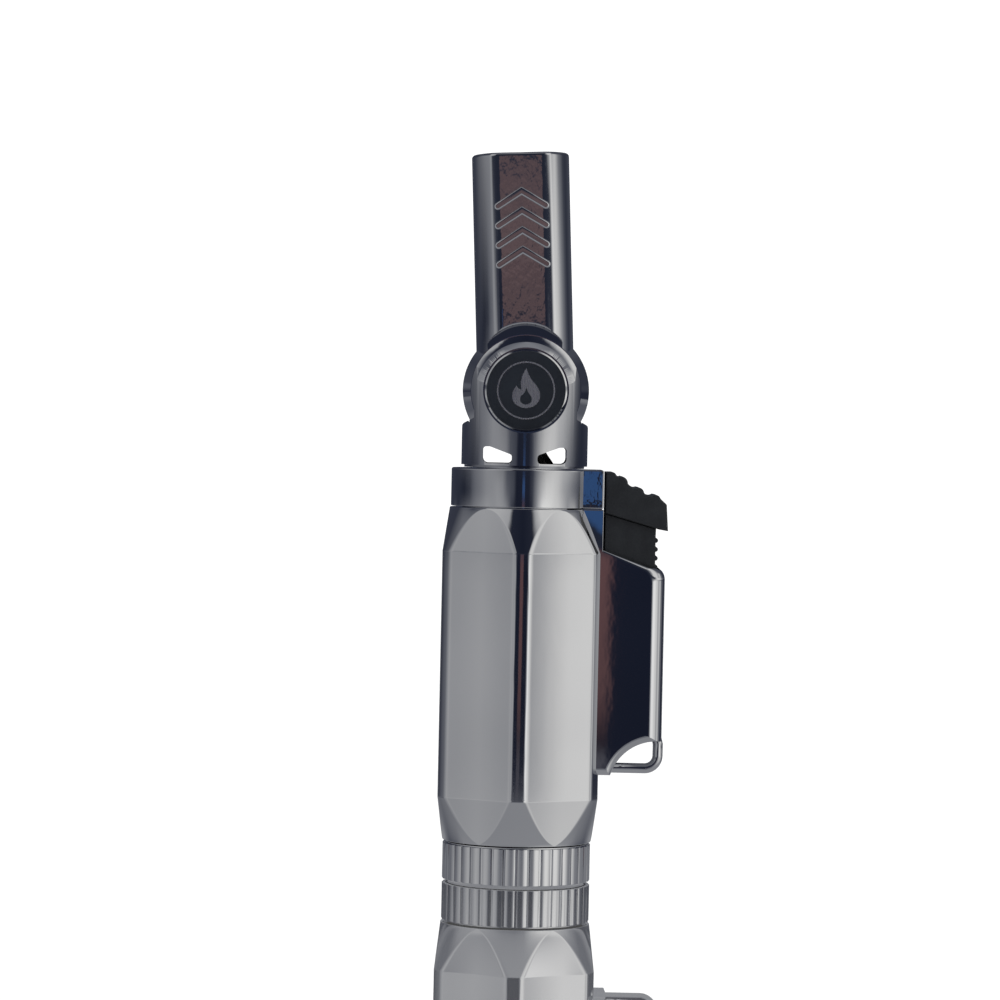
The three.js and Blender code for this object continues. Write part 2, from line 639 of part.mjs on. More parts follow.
function burnerTube() {
  const { radius, bore, flange, bottom, top } = burner;
  let solid = turned([
    [1.6, bottom], [flange, bottom], [flange, bottom + 1], [radius, bottom + 1], [radius, top],
    [bore, top], [bore, bottom + 1], [1.6, bottom + 1], [1.6, bottom],
  ], 32);
  for (const turn of [45, 135]) {
    const across = rod(1.1, -8, 8, 8).rotate([90, 0, 0]).rotate([0, 0, turn]).translate([0, 0, 22]);
    solid = solid.subtract(across);
  }
  return solid.subtract(rod(electrode.tube + 0.1, bottom - OVER, bottom + 1.4, 10, electrode.x, 0));
}

function gasPipe() {
  return pipe(1.3, 0.7, 2.6, 16.5, 12);
}

function burnerJet() {
  return turned([[0.4, 16.8], [3.2, 16.8], [3.2, 18.6], [1.2, 20.4], [0.4, 20.4], [0.4, 16.8]], SMALL);
}

function flameHolder() {
  let solid = rod(3.25, 37.6, 39.2, 24).subtract(rod(0.7, 30, 42, 8));
  for (let i = 0; i < 6; i += 1) {
    const angle = (Math.PI * i) / 3;
    solid = solid.subtract(rod(0.5, 30, 42, 8, 2 * Math.cos(angle), 2 * Math.sin(angle)));
  }
  return solid;
}

function sparkElectrode() {
  const route = smoothRoute([
    [electrode.x, 0, 10.4], [electrode.x, 0, 25], [electrode.x, 0, 39],
    [5.1, 0, 40.4], [4, 0, 41.2], [2.4, 0, 41.3],
  ]);
  return alongCurve(route, electrode.radius, 5, 14);
}

function electrodeTube() {
  const solid = pipe(electrode.tube, electrode.radius + 0.1, electrode.bottom, 38.4, 12);
  return solid.translate([electrode.x, 0, 0]);
}

// ---------------------------------------------------------------- finishes and assembly

const finishes = {
  gunmetal: { color: 0x5b5d63, roughness: 0.08, metalness: 1 },
  steel: { color: 0xb9bcc0, roughness: 0.3, metalness: 1 },
  brass: { color: 0xb8934a, roughness: 0.35, metalness: 1 },
  blackPlastic: { color: 0x1b1e22, roughness: 0.55, metalness: 0 },
  clearPlastic: { color: 0xcfd3cf, roughness: 0.3, metalness: 0 },
  enamel: { color: 0x141c26, roughness: 0.45, metalness: 0 },
  rubber: { color: 0x222222, roughness: 0.8, metalness: 0 },
  ceramic: { color: 0xe9e6dc, roughness: 0.4, metalness: 0 },
};

function place(group, name, finish, solid) {
  const { vertProperties, triVerts } = solid.getMesh();
  const geometry = new THREE.BufferGeometry();
  geometry.setAttribute('position', new THREE.BufferAttribute(new Float32Array(vertProperties), 3));
  geometry.setIndex(new THREE.BufferAttribute(new Uint32Array(triVerts), 1));
  geometry.computeVertexNormals();
  const mesh = new THREE.Mesh(geometry, new THREE.MeshStandardMaterial(finishes[finish]));
  mesh.name = name;
  group.add(mesh);
}

function lowerPieces(group) {
  place(group, 'base_plate', 'gunmetal', basePlate());
  place(group, 'base_screw_left', 'steel', baseScrewSolid(-1));
  place(group, 'base_screw_right', 'steel', baseScrewSolid(1));
  place(group, 'adjuster_ring', 'gunmetal', adjusterRing());
  place(group, 'regulator_pin', 'steel', regulatorPin());
  place(group, 'fill_valve_body', 'brass', fillValveBody());
  place(group, 'fill_valve_stem', 'brass', fillValveStem());
  place(group, 'fill_valve_spring', 'steel', fillValveSpring());
}

function bodyPieces(group) {
  place(group, 'body_shell', 'gunmetal', bodyShell());
  place(group, 'lanyard_loop', 'gunmetal', lanyardLoop());
  place(group, 'fuel_tank', 'clearPlastic', fuelTank());
  place(group, 'tank_seal', 'rubber', tankSeal());
  place(group, 'tank_cap', 'clearPlastic', tankCap());
  place(group, 'outlet_valve_body', 'brass', outletValveBody());
  place(group, 'valve_gland', 'brass', valveGland());
  place(group, 'valve_stem', 'brass', valveStem());
  place(group, 'valve_spring', 'steel', valveSpring());
  place(group, 'lever_bracket', 'steel', leverBracket());
  place(group, 'lever_pin', 'steel', leverPin());
  place(group, 'valve_lever', 'steel', valveLever());
}

function triggerPieces(group) {
  place(group, 'trigger_cap', 'blackPlastic', triggerCap());
  place(group, 'trigger_stem', 'blackPlastic', triggerStem());
  place(group, 'piezo_housing', 'blackPlastic', piezoHousing());
  place(group, 'piezo_plunger', 'clearPlastic', piezoPlunger());
  place(group, 'trigger_spring', 'steel', triggerSpring());
}

function pivotPieces(group) {
  place(group, 'collar_cap', 'gunmetal', collarCap());
  place(group, 'pivot_fork', 'gunmetal', pivotFork());
  place(group, 'fork_nut', 'steel', forkNut());
  place(group, 'swivel_core', 'brass', swivelCore());
  place(group, 'gas_hose', 'rubber', gasHose());
  place(group, 'ignition_wire', 'rubber', ignitionWire());
  for (const [end, side] of [['front', -1], ['rear', 1]]) {
    place(group, `${end}_badge`, 'enamel', badgeSolid(side));
    place(group, `${end}_pivot_pin`, 'steel', pivotPin(side));
    place(group, `${end}_friction_washer`, 'steel', frictionWasher(side));
  }
}

function headPieces() {
  const group = new THREE.Group();
  group.position.z = pivotZ;
  group.rotation.y = THREE.MathUtils.degToRad(head.lean);
  place(group, 'nozzle_barrel', 'gunmetal', nozzleBarrel());
  place(group, 'muzzle_liner', 'steel', muzzleLiner());
  place(group, 'burner_tube', 'brass', burnerTube());
  place(group, 'burner_jet', 'brass', burnerJet());
  place(group, 'gas_pipe', 'brass', gasPipe());
  place(group, 'flame_holder', 'steel', flameHolder());
  place(group, 'electrode_tube', 'ceramic', electrodeTube());
  place(group, 'spark_electrode', 'steel', sparkElectrode());
  return group;
}

const torch = new THREE.Group();
lowerPieces(torch);
bodyPieces(torch);
triggerPieces(torch);
pivotPieces(torch);
torch.add(headPieces());

export default torch;
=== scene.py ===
import json
import math

import bmesh
import bpy
from mathutils import Matrix, Vector


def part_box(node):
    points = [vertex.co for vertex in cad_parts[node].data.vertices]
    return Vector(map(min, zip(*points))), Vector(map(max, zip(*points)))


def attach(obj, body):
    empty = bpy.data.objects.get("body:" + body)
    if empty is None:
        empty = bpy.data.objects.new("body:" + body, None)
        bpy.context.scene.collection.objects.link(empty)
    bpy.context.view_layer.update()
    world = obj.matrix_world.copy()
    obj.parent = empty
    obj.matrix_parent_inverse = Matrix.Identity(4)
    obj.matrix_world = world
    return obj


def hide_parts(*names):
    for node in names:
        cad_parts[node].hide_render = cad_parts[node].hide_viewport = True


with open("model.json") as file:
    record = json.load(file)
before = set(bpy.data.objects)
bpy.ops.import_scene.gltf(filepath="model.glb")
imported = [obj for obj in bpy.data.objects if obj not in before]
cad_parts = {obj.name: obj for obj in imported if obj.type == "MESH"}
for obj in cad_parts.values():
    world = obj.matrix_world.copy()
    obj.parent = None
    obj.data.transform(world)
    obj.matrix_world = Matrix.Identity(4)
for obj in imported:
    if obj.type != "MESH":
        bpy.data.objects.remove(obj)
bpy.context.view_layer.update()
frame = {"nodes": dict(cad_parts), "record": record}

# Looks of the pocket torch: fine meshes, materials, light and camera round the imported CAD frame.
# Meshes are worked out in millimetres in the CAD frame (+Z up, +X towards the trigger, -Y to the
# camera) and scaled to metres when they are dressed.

MM = 0.001


def box_mm(node):
    """Lowest and highest corner of a CAD node, in millimetres."""
    low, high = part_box(node)
    return low / MM, high / MM


# ---------------------------------------------------------------- driving dimensions, millimetres

RING_LOW, RING_HIGH = box_mm("adjuster_ring")
SHELL_LOW, SHELL_HIGH = box_mm("body_shell")
COLLAR_LOW, COLLAR_HIGH = box_mm("collar_cap")
FORK_LOW, FORK_HIGH = box_mm("pivot_fork")
BADGE_LOW, BADGE_HIGH = box_mm("rear_badge")

PIVOT_Z = (BADGE_LOW.z + BADGE_HIGH.z) / 2
LEAN = math.radians(-2.5)

FOOT = {"radius": 13.8, "edge": 0.3, "height": 0.9, "post": 7.5, "post_top": 11.2}
FILL_HOLE = {"radius": 2.2, "y": 4.4}
SCREW = {"x": 4.4, "y": -2.8, "hole": 1.3, "seat": 2.2, "seat_depth": 1.8}
RING = {
    "radius": RING_HIGH.x, "root": 14.36, "crown": 0.16, "ribs": 38, "bottom": RING_LOW.z, "top": 7.7,
    "bore": 7.9, "web": 1.2, "lip_outer": 14.2, "lip_inner": 12.6,
}
RAMP = {"inner": 9.2, "outer": 12.2, "low": 7.2, "rise": 1.2, "steps": 12, "sweep": 270}
SHELL = {
    "bottom": SHELL_LOW.z, "waist": 17.2, "shoulder": 66.0, "top": 74.75,
    "radius": SHELL_HIGH.y, "apothem": -SHELL_LOW.x, "foot_radius": 14.9, "neck_radius": 14.7,
    "bore": 13.6, "neck_bore": 12.3, "neck_bore_from": 69.5,
    "fillet": 3.4, "dish": 60.0,
}
HOUSING = {
    "outer": 28.4, "half": 8.5, "corner": 3.0, "spine": 15.9, "spine_top": 66.8, "lip_top": 62.9,
    "scoop_edge": 1.4, "top_edge": 0.35,
}
SCOOP = {"x": 27.5, "z": 19.4, "radius": 9.6, "tip": 22.4}
POCKET = {"inner": 15.9, "outer": 27.2, "half": 7.1, "floor": 31.5}
COLLAR = {
    "radius": -COLLAR_LOW.x, "bottom": 74.95, "top": COLLAR_HIGH.z, "block": COLLAR_HIGH.x,
    "bore": 10.6, "hole": 9.7, "spigot": 11.9, "spigot_bottom": COLLAR_LOW.z,
}
FORK = {
    "radius": FORK_HIGH.x, "bottom": 83.2, "base": 82.75, "flange": 12.0, "inner": 11.4,
    "bore_top": 87.2, "slot": 5.95, "shoulder": 91.3, "shoulder_top": 92.5, "waist": 10.2,
    "eye": 10.9, "neck": 9.4, "neck_bore": 8.4, "neck_bottom": FORK_LOW.z,
}
VENT = {"inner": 2.5, "outer": 8.3, "low": 83.6, "high": 86.9}
# Section of the sloped bands round the top of an ear: distances from the bands' own centre, which lies
# a little below the pivot, and depths from the torch's middle plane.
EAR_BAND = {"below_pivot": 0.4, "section": [(8.3, 9.68), (10.0, 8.05), (11.3, 7.77), (15.4, 7.65)]}
BADGE = {"radius": 8.2, "seat": 8.5, "back": BADGE_LOW.y, "face": BADGE_HIGH.y, "bezel": 0.35}
EMBLEM = {"outer": 5.75, "inner": 5.45}
HEAD = {
    "radius": 9.7, "flat": 8.0, "length": 47.2, "edge": 0.7, "bore": 7.3, "bore_floor": 15.0,
    "knuckle": 12.6, "cheek": 5.4, "chamfer": 1.6, "ear_room": 11.1, "dish": 9.55, "dish_lift": 3.75,
    "dish_floor": 6.2, "blend": 0.7, "slot": 2.3, "slot_reach": math.radians(86), "core_room": 3.4,
    "pipe_room": 1.9,
}
PIN = {"radius": 3.0, "gap": 0.3}
CHEVRON = {"first": 7.0, "pitch": 3.87, "count": 4, "half": 4.75, "drop": 2.95, "stroke": 0.72,
           "height": 0.35}
LINER = {"outer": 7.0, "inner": 6.5}
BURNER = {"radius": 4.2, "bore": 3.6, "flange": 7.0, "web": 1.0, "inlet": 1.6, "bottom": 15.3, "top": 40.0}
HOLDER = {
    "radius": 3.25, "bottom": 37.6, "top": 39.2, "hole": 0.7, "outer_holes": 6, "outer_hole": 0.5,
    "outer_reach": 2,
}
ELECTRODE = {"x": 5.3, "radius": 0.4, "tube": 0.85, "bottom": 16.7, "top": 38.4}
TRIGGER = {
    "inner": 16.25, "stem_outer": 26.4, "stem_half": 6.75, "cap_half": 7.5, "stem_bottom": 58.3,
    "ribs": 4, "rib_top": 68.9, "rib_pitch": 1.77, "rib": 0.5, "lug_half": 1.9,
}
LOOP = {"wire": 1.02, "leg_x": 27.9, "leg_top": 28.6, "bend": 2.6, "run_z": 23.06, "run_end": 19.4}
HOSE_RADIUS = 1.3
WIRE_RADIUS = 0.55
FAR = 160.0  # above every piece, for cutters that run right through
WIDE = 30.0  # and past every side

# What the polished metal mirrors. Each row of the room spans some degrees above the horizon (top,
# bottom). It lists, by degrees round the torch from the camera's side (positive to the right), the grey
# level on screen of a plated wall that mirrors that direction. Between rows the levels blend.
ROOM = [
    ((90, 62), [(-180, 66), (-90, 90), (-30, 112), (0, 116), (30, 116), (90, 100), (180, 66)]),
    ((50, 30), [
        (-180, 60), (-95, 60), (-80, 98), (-66, 165), (-40, 162), (-24, 150), (-19, 34), (0, 28), (15, 36),
        (21, 150), (30, 188), (62, 188), (80, 120), (100, 70), (180, 60),
    ]),
    ((22, 6.5), [
        (-180, 46), (-128, 50), (-100, 110), (-72, 138), (-60, 148), (-48, 142), (-36, 130), (-24, 60),
        (-18, 34), (10, 34), (20, 110), (32, 196), (57, 197), (64, 184), (73, 160), (88, 186), (100, 110),
        (118, 50), (180, 46),
    ]),
    ((4.5, 2.2), [
        (-180, 46), (-140, 52), (-128, 72), (-114, 102), (-95, 129), (-79, 128), (-60, 140), (-50, 120),
        (-42, 48), (-13, 36), (8, 38), (36, 46), (46, 150), (56, 198), (73, 207), (88, 189), (98, 150),
        (106, 114), (118, 70), (128, 46), (150, 60), (180, 46),
    ]),
    ((-0.8, -1.1), [
        (-180, 38), (-150, 44), (-125, 42), (-109, 30), (-95, 48), (-88, 80), (-83, 93), (-72, 108),
        (-62, 124), (-52, 130), (-42, 138), (-34, 128), (-27, 84), (-16, 68), (-12, 28), (8, 32), (14, 62),
        (19, 112), (28, 165), (36, 196), (46, 196), (55, 181), (65, 152), (76, 129), (87, 98), (96, 75),
        (110, 33), (139, 38), (180, 38),
    ]),
    ((-1.9, -5.15), [
        (-180, 30), (-165, 75), (-152, 40), (-140, 92), (-128, 38), (-118, 84), (-85, 124),
        (-72, 137), (-60, 148), (-48, 138), (-38, 146), (-28, 138), (-20, 60), (-14, 27), (8, 25), (13, 40),
        (20, 130), (30, 226), (42, 214), (50, 199), (57, 197), (62, 187), (68, 168), (74, 140), (80, 170),
        (88, 186), (96, 110), (108, 84), (116, 32), (140, 42), (150, 90), (180, 30),
    ]),
    ((-5.45, -7), [
        (-180, 90), (-120, 100), (-85, 140), (-60, 158), (-40, 150), (-20, 122), (0, 104), (14, 124),
        (25, 176), (40, 204), (60, 200), (80, 164), (100, 120), (180, 90),
    ]),
    ((-10, -17), [
        (-180, 122), (-150, 112), (-132, 78), (-110, 84), (-95, 122), (-85, 128), (-60, 146), (-40, 130),
        (-20, 104), (0, 92), (14, 108), (25, 160), (40, 188), (60, 182), (80, 150), (95, 118), (110, 84),
        (132, 78), (150, 112), (180, 122),
    ]),
    ((-31, -70), [(-180, 127), (180, 127)]),
]
# Brown and blue things behind the camera: colours on screen by degrees above the horizon, and how much of
# the room they cover by degrees to the right and by degrees above the horizon.
NAVY = (30, 34, 46)
BLUE = (44, 70, 110)
PATCH = [
    (-4.6, (70, 70, 78)), (-4.35, (36, 32, 40)), (-3.6, (80, 60, 62)), (-1.75, (88, 64, 66)),
    (-1.62, NAVY), (-1.3, NAVY), (-1.22, BLUE), (-0.5, BLUE), (-0.3, NAVY), (1.2, NAVY),
    (1.35, (84, 70, 73)), (1.6, (92, 76, 78)), (2.0, (70, 58, 62)), (2.7, (96, 80, 82)),
    (3.3, (76, 64, 68)), (3.7, (92, 76, 78)), (4.2, (34, 40, 54)),
]
PATCH_WIDTH = [(-2.6, 0.0), (-2.3, 1.0), (1.54, 1.0), (1.6, 0.0)]
PATCH_HEIGHT = [(-5.2, 0.0), (-4.6, 1.0), (4.4, 1.0), (6.5, 0.0)]
PATCH_REACH = 8.0  # degrees each way that the patch's colour ramps span
PLATE_DARK = (0.42, 0.43, 0.46)  # how much of each colour the plating mirrors, where it is darkest
PLATE_LIGHT = (0.46, 0.47, 0.5)
PLATE = tuple((dark + light) / 2 for dark, light in zip(PLATE_DARK, PLATE_LIGHT))
BACKDROP = 1.15

CAMERA = {"place": (-4.7, -820.0, 90.2), "pitch": -0.98, "roll": 1.2, "lens": 147.6, "sensor": 36.0}

# ---------------------------------------------------------------- outline helpers


def arc(centre, radius, start, end, steps):
    """Points on an arc, with its angles in radians."""
    x, z = centre
    turns = [start + (end - start) * i / steps for i in range(steps + 1)]
    return [(x + radius * math.cos(turn), z + radius * math.sin(turn)) for turn in turns]


def bend(start, pull, end, steps):
    """Points of a quadratic curve, without its first point."""
    points = []
    for i in range(1, steps + 1):
        t = i / steps
        a, b, c = (1 - t) ** 2, 2 * t * (1 - t), t * t
        points.append((a * start[0] + b * pull[0] + c * end[0], a * start[1] + b * pull[1] + c * end[1]))
    return points


def chain(start, steps, *curves):
    """Points of quadratic curves end to end, without the first point. Each is its pull and its end."""
    points = []
    for pull, end in curves:
        points += bend(start, pull, end, steps)
        start = end
    return points


def rounded(points, radii, steps):
    """Replaces each corner of a closed outline by an arc of its own radius; 0 keeps it sharp."""
    result = []
    for i, (point, radius) in enumerate(zip(points, radii)):
        if radius == 0:
            result.append(tuple(point))
            continue
        corner = Vector(point)
        before = (Vector(points[i - 1]) - corner).normalized()
        after = (Vector(points[(i + 1) % len(points)]) - corner).normalized()
        half = before.angle(after) / 2
        centre = corner + (before + after).normalized() * radius / math.sin(half)
        start = corner + before * radius / math.tan(half) - centre
        end = corner + after * radius / math.tan(half) - centre
        sweep = math.pi - 2 * half
        for k in range(steps + 1):
            part = sweep * k / steps
            spoke = (start * math.sin(sweep - part) + end * math.sin(part)) / math.sin(sweep)
            result.append(tuple(centre + spoke))
    return result


def inset(outline, distance):
    """Moves a closed outline inwards by a distance."""
    area = sum(a[0] * b[1] - b[0] * a[1] for a, b in zip(outline, outline[1:] + outline[:1]))
    side = 1 if area > 0 else -1
    result = []
    for i, point in enumerate(outline):
        before = (Vector(point) - Vector(outline[i - 1])).normalized()
        after = (Vector(outline[(i + 1) % len(outline)]) - Vector(point)).normalized()
        first = Vector((-before.y, before.x)) * side
        second = Vector((-after.y, after.x)) * side
        shift = (first + second) / max(0.3, 1 + first.dot(second))
        result.append(tuple(Vector(point) + shift * distance))
    return result


def edge_steps(radius, steps=4):
    """(inset, depth) pairs that round a rim, from the flat face to the side wall."""
    turns = [math.pi / 2 * i / steps for i in range(steps + 1)]
    return [(radius * (1 - math.sin(turn)), radius * (1 - math.cos(turn))) for turn in turns]


# ---------------------------------------------------------------- mesh helpers


def new_object(name, points, faces):
    mesh = bpy.data.meshes.new(name)
    mesh.from_pydata([tuple(point) for point in points], [], faces)
    shape = bmesh.new()
    shape.from_mesh(mesh)
    bmesh.ops.recalc_face_normals(shape, faces=shape.faces)
    shape.to_mesh(mesh)
    shape.free()
    made = bpy.data.objects.new(name, mesh)
    bpy.context.scene.collection.objects.link(made)
    return made


def skin(name, rings, looped=False):
    """Skins a stack of rings with as many points each; the ends are capped unless the stack loops."""
    count = len(rings[0])
    points = [point for ring in rings for point in ring]
    faces = []
    for i in range(len(rings) if looped else len(rings) - 1):
        low, high = i * count, (i + 1) % len(rings) * count
        for k in range(count):
            after = (k + 1) % count
            faces.append((low + k, low + after, high + after, high + k))
    if not looped:
        faces.append(tuple(range(count)))
        faces.append(tuple(range(len(points) - count, len(points))))
    return new_object(name, points, faces)


def lathe(name, profile, sides=128, looped=False):
    """Turns (radius, z) points about Z. A looped profile makes a tube, any other is capped flat."""
    turns = [2 * math.pi * k / sides for k in range(sides)]
    rings = [[(r * math.cos(turn), r * math.sin(turn), z) for turn in turns] for r, z in profile]
    return skin(name, rings, looped)


def rod(name, radius, low, high, sides=48, x=0.0, y=0.0):
    return moved(lathe(name, [(radius, low), (radius, high)], sides), Matrix.Translation((x, y, 0)))


def across(made, height=None):
    """Turns a lathed mesh so that its axis runs along Y at the pivot's height."""
    lift = PIVOT_Z if height is None else height
    return moved(made, Matrix.Translation((0, 0, lift)) @ Matrix.Rotation(-math.pi / 2, 4, "X"))


def slab(name, outline, near, far, edge=0.0, steps=4):
    """Extrudes an XZ outline along Y from near to far, with both rims rounded by edge."""
    if edge == 0:
        layers = [(0, near), (0, far)]
    else:
        rim = edge_steps(edge, steps)
        layers = [(shift, near + depth) for shift, depth in rim]
        layers += [(shift, far - depth) for shift, depth in reversed(rim)]
    rings = []
    for shift, y in layers:
        rings.append([(x, y, z) for x, z in (inset(outline, shift) if shift else outline)])
    return skin(name, rings)


def brick(name, low, high, edge=0.0):
    """A box between two corners, with its edges along Y rounded and its Y faces rounded too."""
    (x0, y0, z0), (x1, y1, z1) = low, high
    outline = [(x0, z0), (x1, z0), (x1, z1), (x0, z1)]
    if edge:
        outline = rounded(outline, [edge] * 4, 4)
    return slab(name, outline, y0, y1, edge * 0.8)


def tube(name, path, radius, sides):
    """Sweeps a round section along a list of points."""
    points = [Vector(point) for point in path]
    tangents = []
    for i in range(len(points)):
        tangents.append((points[min(i + 1, len(points) - 1)] - points[max(i - 1, 0)]).normalized())
    side = tangents[0].orthogonal().normalized()
    rings = []
    for point, tangent in zip(points, tangents):
        side = (side - tangent * side.dot(tangent)).normalized()
        other = tangent.cross(side)
        turns = [2 * math.pi * k / sides for k in range(sides)]
        rings.append([point + (side * math.cos(t) + other * math.sin(t)) * radius for t in turns])
    return skin(name, rings)


def smooth_route(points, steps):
    """A centripetal curve through the points, cut into steps per stretch."""
    knots = [Vector(point) for point in points]
    knots = [2 * knots[0] - knots[1]] + knots + [2 * knots[-1] - knots[-2]]
    path = []
    for p0, p1, p2, p3 in zip(knots, knots[1:], knots[2:], knots[3:]):
        d0, d1, d2 = [math.sqrt((b - a).length) for a, b in ((p0, p1), (p1, p2), (p2, p3))]
        first = ((p1 - p0) / d0 - (p2 - p0) / (d0 + d1) + (p2 - p1) / d1) * d1
        second = ((p2 - p1) / d1 - (p3 - p1) / (d1 + d2) + (p3 - p2) / d2) * d1
        for k in range(steps):
            t = k / steps
            curve = p1 + first * t + (3 * (p2 - p1) - 2 * first - second) * t * t
            path.append(curve + (2 * (p1 - p2) + first + second) * t ** 3)
    return path + [knots[-2]]


def moved(made, matrix):
    made.data.transform(matrix)
    return made


def on_side(made, side):
    """Leaves a mesh on the +Y side, or moves it to the other side of the XZ plane."""
    if side < 0:
        made.data.transform(Matrix.Scale(-1, 4, (0, 1, 0)))
        made.data.flip_normals()
    return made


def bake(made):
    """Applies an object's modifiers to its mesh."""
    depsgraph = bpy.context.evaluated_depsgraph_get()
    baked = bpy.data.meshes.new_from_object(made.evaluated_get(depsgraph))
    made.modifiers.clear()
    made.data = baked
    return made


def boolean(made, others, operation):
    for other in others:
        modifier = made.modifiers.new("boolean", "BOOLEAN")
        modifier.operation = operation
        modifier.solver = "MANIFOLD"
        modifier.material_mode = "TRANSFER"
        modifier.object = other
        bake(made)
        bpy.data.objects.remove(other)
    return made


def cut(made, *cutters):
    return boolean(made, cutters, "DIFFERENCE")


def join(made, *others):
    return boolean(made, others, "UNION")


def common(made, *others):
    return boolean(made, others, "INTERSECT")


def soften(made, width):
    """Rounds the sharp edges that booleans leave."""
    shape = bmesh.new()
    shape.from_mesh(made.data)
    bmesh.ops.remove_doubles(shape, verts=shape.verts, dist=0.004)
    bmesh.ops.dissolve_limit(
        shape, angle_limit=math.radians(0.3), verts=shape.verts, edges=shape.edges
    )
    shape.to_mesh(made.data)
    shape.free()
    modifier = made.modifiers.new("bevel", "BEVEL")
    modifier.width = width
    modifier.segments = 2
    modifier.limit_method = "ANGLE"
    modifier.angle_limit = math.radians(32)
    modifier.miter_outer = "MITER_ARC"
    return bake(made)


# ---------------------------------------------------------------- node tree helpers


def add(tree, kind, inputs=None, **settings):
    """Adds a node. Inputs are numbers and colours, or sockets to link from."""
    node = tree.nodes.new("ShaderNode" + kind)
    for name, value in settings.items():
        setattr(node, name, value)
    for name, value in (inputs or {}).items():
        if isinstance(value, bpy.types.NodeSocket):
            tree.links.new(value, node.inputs[name])
        else:
            node.inputs[name].default_value = value
    return node


def math_node(tree, operation, first, second=0.0, third=0.0):
    return add(tree, "Math", {0: first, 1: second, 2: third}, operation=operation).outputs[0]


def ramp(tree, source, stops):
    """A colour ramp. Each stop is a place from 0 to 1 and a linear colour or a grey."""
    node = add(tree, "ValToRGB", {"Fac": source})
    while len(node.color_ramp.elements) > 1:
        node.color_ramp.elements.remove(node.color_ramp.elements[0])
    for i, (place, colour) in enumerate(stops):
        if i == 0:
            element = node.color_ramp.elements[0]
            element.position = place
        else:
            element = node.color_ramp.elements.new(place)
        grey = isinstance(colour, (int, float))
        element.color = (colour, colour, colour, 1) if grey else (*colour, 1)
    return node.outputs["Color"]


def mix(tree, factor, first, second):
    """Mixes two colours; each is a socket or a colour. Sockets 6, 7 and 2 are the colour ones."""
    return add(tree, "Mix", {0: factor, 6: first, 7: second}, data_type="RGBA").outputs[2]


def spread(tree, source, low, high):
    """Maps a 0 to 1 texture onto low to high."""
    return add(tree, "MapRange", {"Value": source, "To Min": low, "To Max": high}).outputs["Result"]


def linear(red, green, blue):
    """Linear colour of a screen colour given as 0 to 255."""
    return tuple(((c / 255 + 0.055) / 1.055) ** 2.4 if c > 10 else c / 3295 for c in (red, green, blue))


def new_material(name, **constants):
    """A material with a Principled shader, its surface coordinates and its constant values."""
    material = bpy.data.materials.new(name)
    material.use_nodes = True
    tree = material.node_tree
    tree.nodes.clear()
    output = tree.nodes.new("ShaderNodeOutputMaterial")
    shader = add(tree, "BsdfPrincipled")
    for socket, value in constants.items():
        shader.inputs[socket.replace("_", " ")].default_value = value
    tree.links.new(shader.outputs[0], output.inputs[0])
    place = tree.nodes.new("ShaderNodeTexCoord").outputs["Object"]
    return material, tree, shader, place


def noise(tree, place, scale, detail=2.0, roughness=0.5, stretch=None):
    if stretch:
        place = add(tree, "Mapping", {"Vector": place, "Scale": stretch}).outputs[0]
    inputs = {"Vector": place, "Scale": scale, "Detail": detail, "Roughness": roughness}
    return add(tree, "TexNoise", inputs).outputs["Fac"]


def bump(tree, shader, height, distance):
    """Adds a fine relief, with its depth in metres."""
    node = add(tree, "Bump", {"Height": height, "Distance": distance})
    tree.links.new(node.outputs[0], shader.inputs["Normal"])


def tint(tree, shader, source, low, high):
    colours = ramp(tree, source, [(0.3, low), (0.7, high)])
    tree.links.new(colours, shader.inputs["Base Color"])


def rough(tree, shader, source, low, high):
    tree.links.new(spread(tree, source, low, high), shader.inputs["Roughness"])


# ---------------------------------------------------------------- materials


def plated_metal(name, wave_size, wave_depth, clearest=0.035, haziest=0.075):
    """Mirror-polished dark nickel plate. The casting under it leaves slow waves in the mirror."""
    material, tree, shader, place = new_material(name, Metallic=1.0)
    tint(tree, shader, noise(tree, place, 45, 1), PLATE_DARK, PLATE_LIGHT)
    rough(tree, shader, noise(tree, place, 260, 3), clearest, haziest)
    waves = noise(tree, place, 1 / (wave_size * MM), 2, 0.55, (1, 1, 0.55))
    bump(tree, shader, waves, wave_depth * MM)
    return material


def brushed_metal(name, dark, light, low, high):
    """Brushed metal, with fine lines along Z."""
    material, tree, shader, place = new_material(name, Metallic=1.0)
    lines = noise(tree, place, 2600, 3, 0.6, (1, 1, 0.05))
    tint(tree, shader, noise(tree, place, 120, 2), dark, light)
    rough(tree, shader, lines, low, high)
    bump(tree, shader, lines, 0.004 * MM)
    return material


def grained(name, colours, blotches, grain, haze, depth, **constants):
    """A material with slow blotches between two colours and one grain in its roughness and its relief."""
    material, tree, shader, place = new_material(name, **constants)
    relief = noise(tree, place, *grain)
    tint(tree, shader, noise(tree, place, *blotches), *colours)
    rough(tree, shader, relief, *haze)
    bump(tree, shader, relief, depth * MM)
    return material


def moulded_black():
    """Matte black plastic with a fine spark-eroded grain."""
    colours = (0.012, 0.014, 0.018), (0.02, 0.023, 0.028)
    return grained(
        "trigger_black", colours, (300, 3), (3800, 2, 0.6), (0.42, 0.6), 0.018, Specular_IOR_Level=0.42
    )


def dark_enamel():
    """Satin blue-black enamel of the badge, under a thin clear coat."""
    colours = (0.009, 0.013, 0.021), (0.014, 0.02, 0.031)
    coat = {"Specular_IOR_Level": 0.5, "Coat_Weight": 0.25, "Coat_Roughness": 0.18}
    return grained("badge_enamel", colours, (180, 2), (2400, 2), (0.33, 0.45), 0.004, **coat)


def soft_rubber():
    """Black extruded rubber of the hose and the wire's sleeve."""
    colours = (0.022, 0.02, 0.019), (0.04, 0.037, 0.034)
    return grained("rubber", colours, (250, 2), (1800, 3), (0.45, 0.7), 0.01)


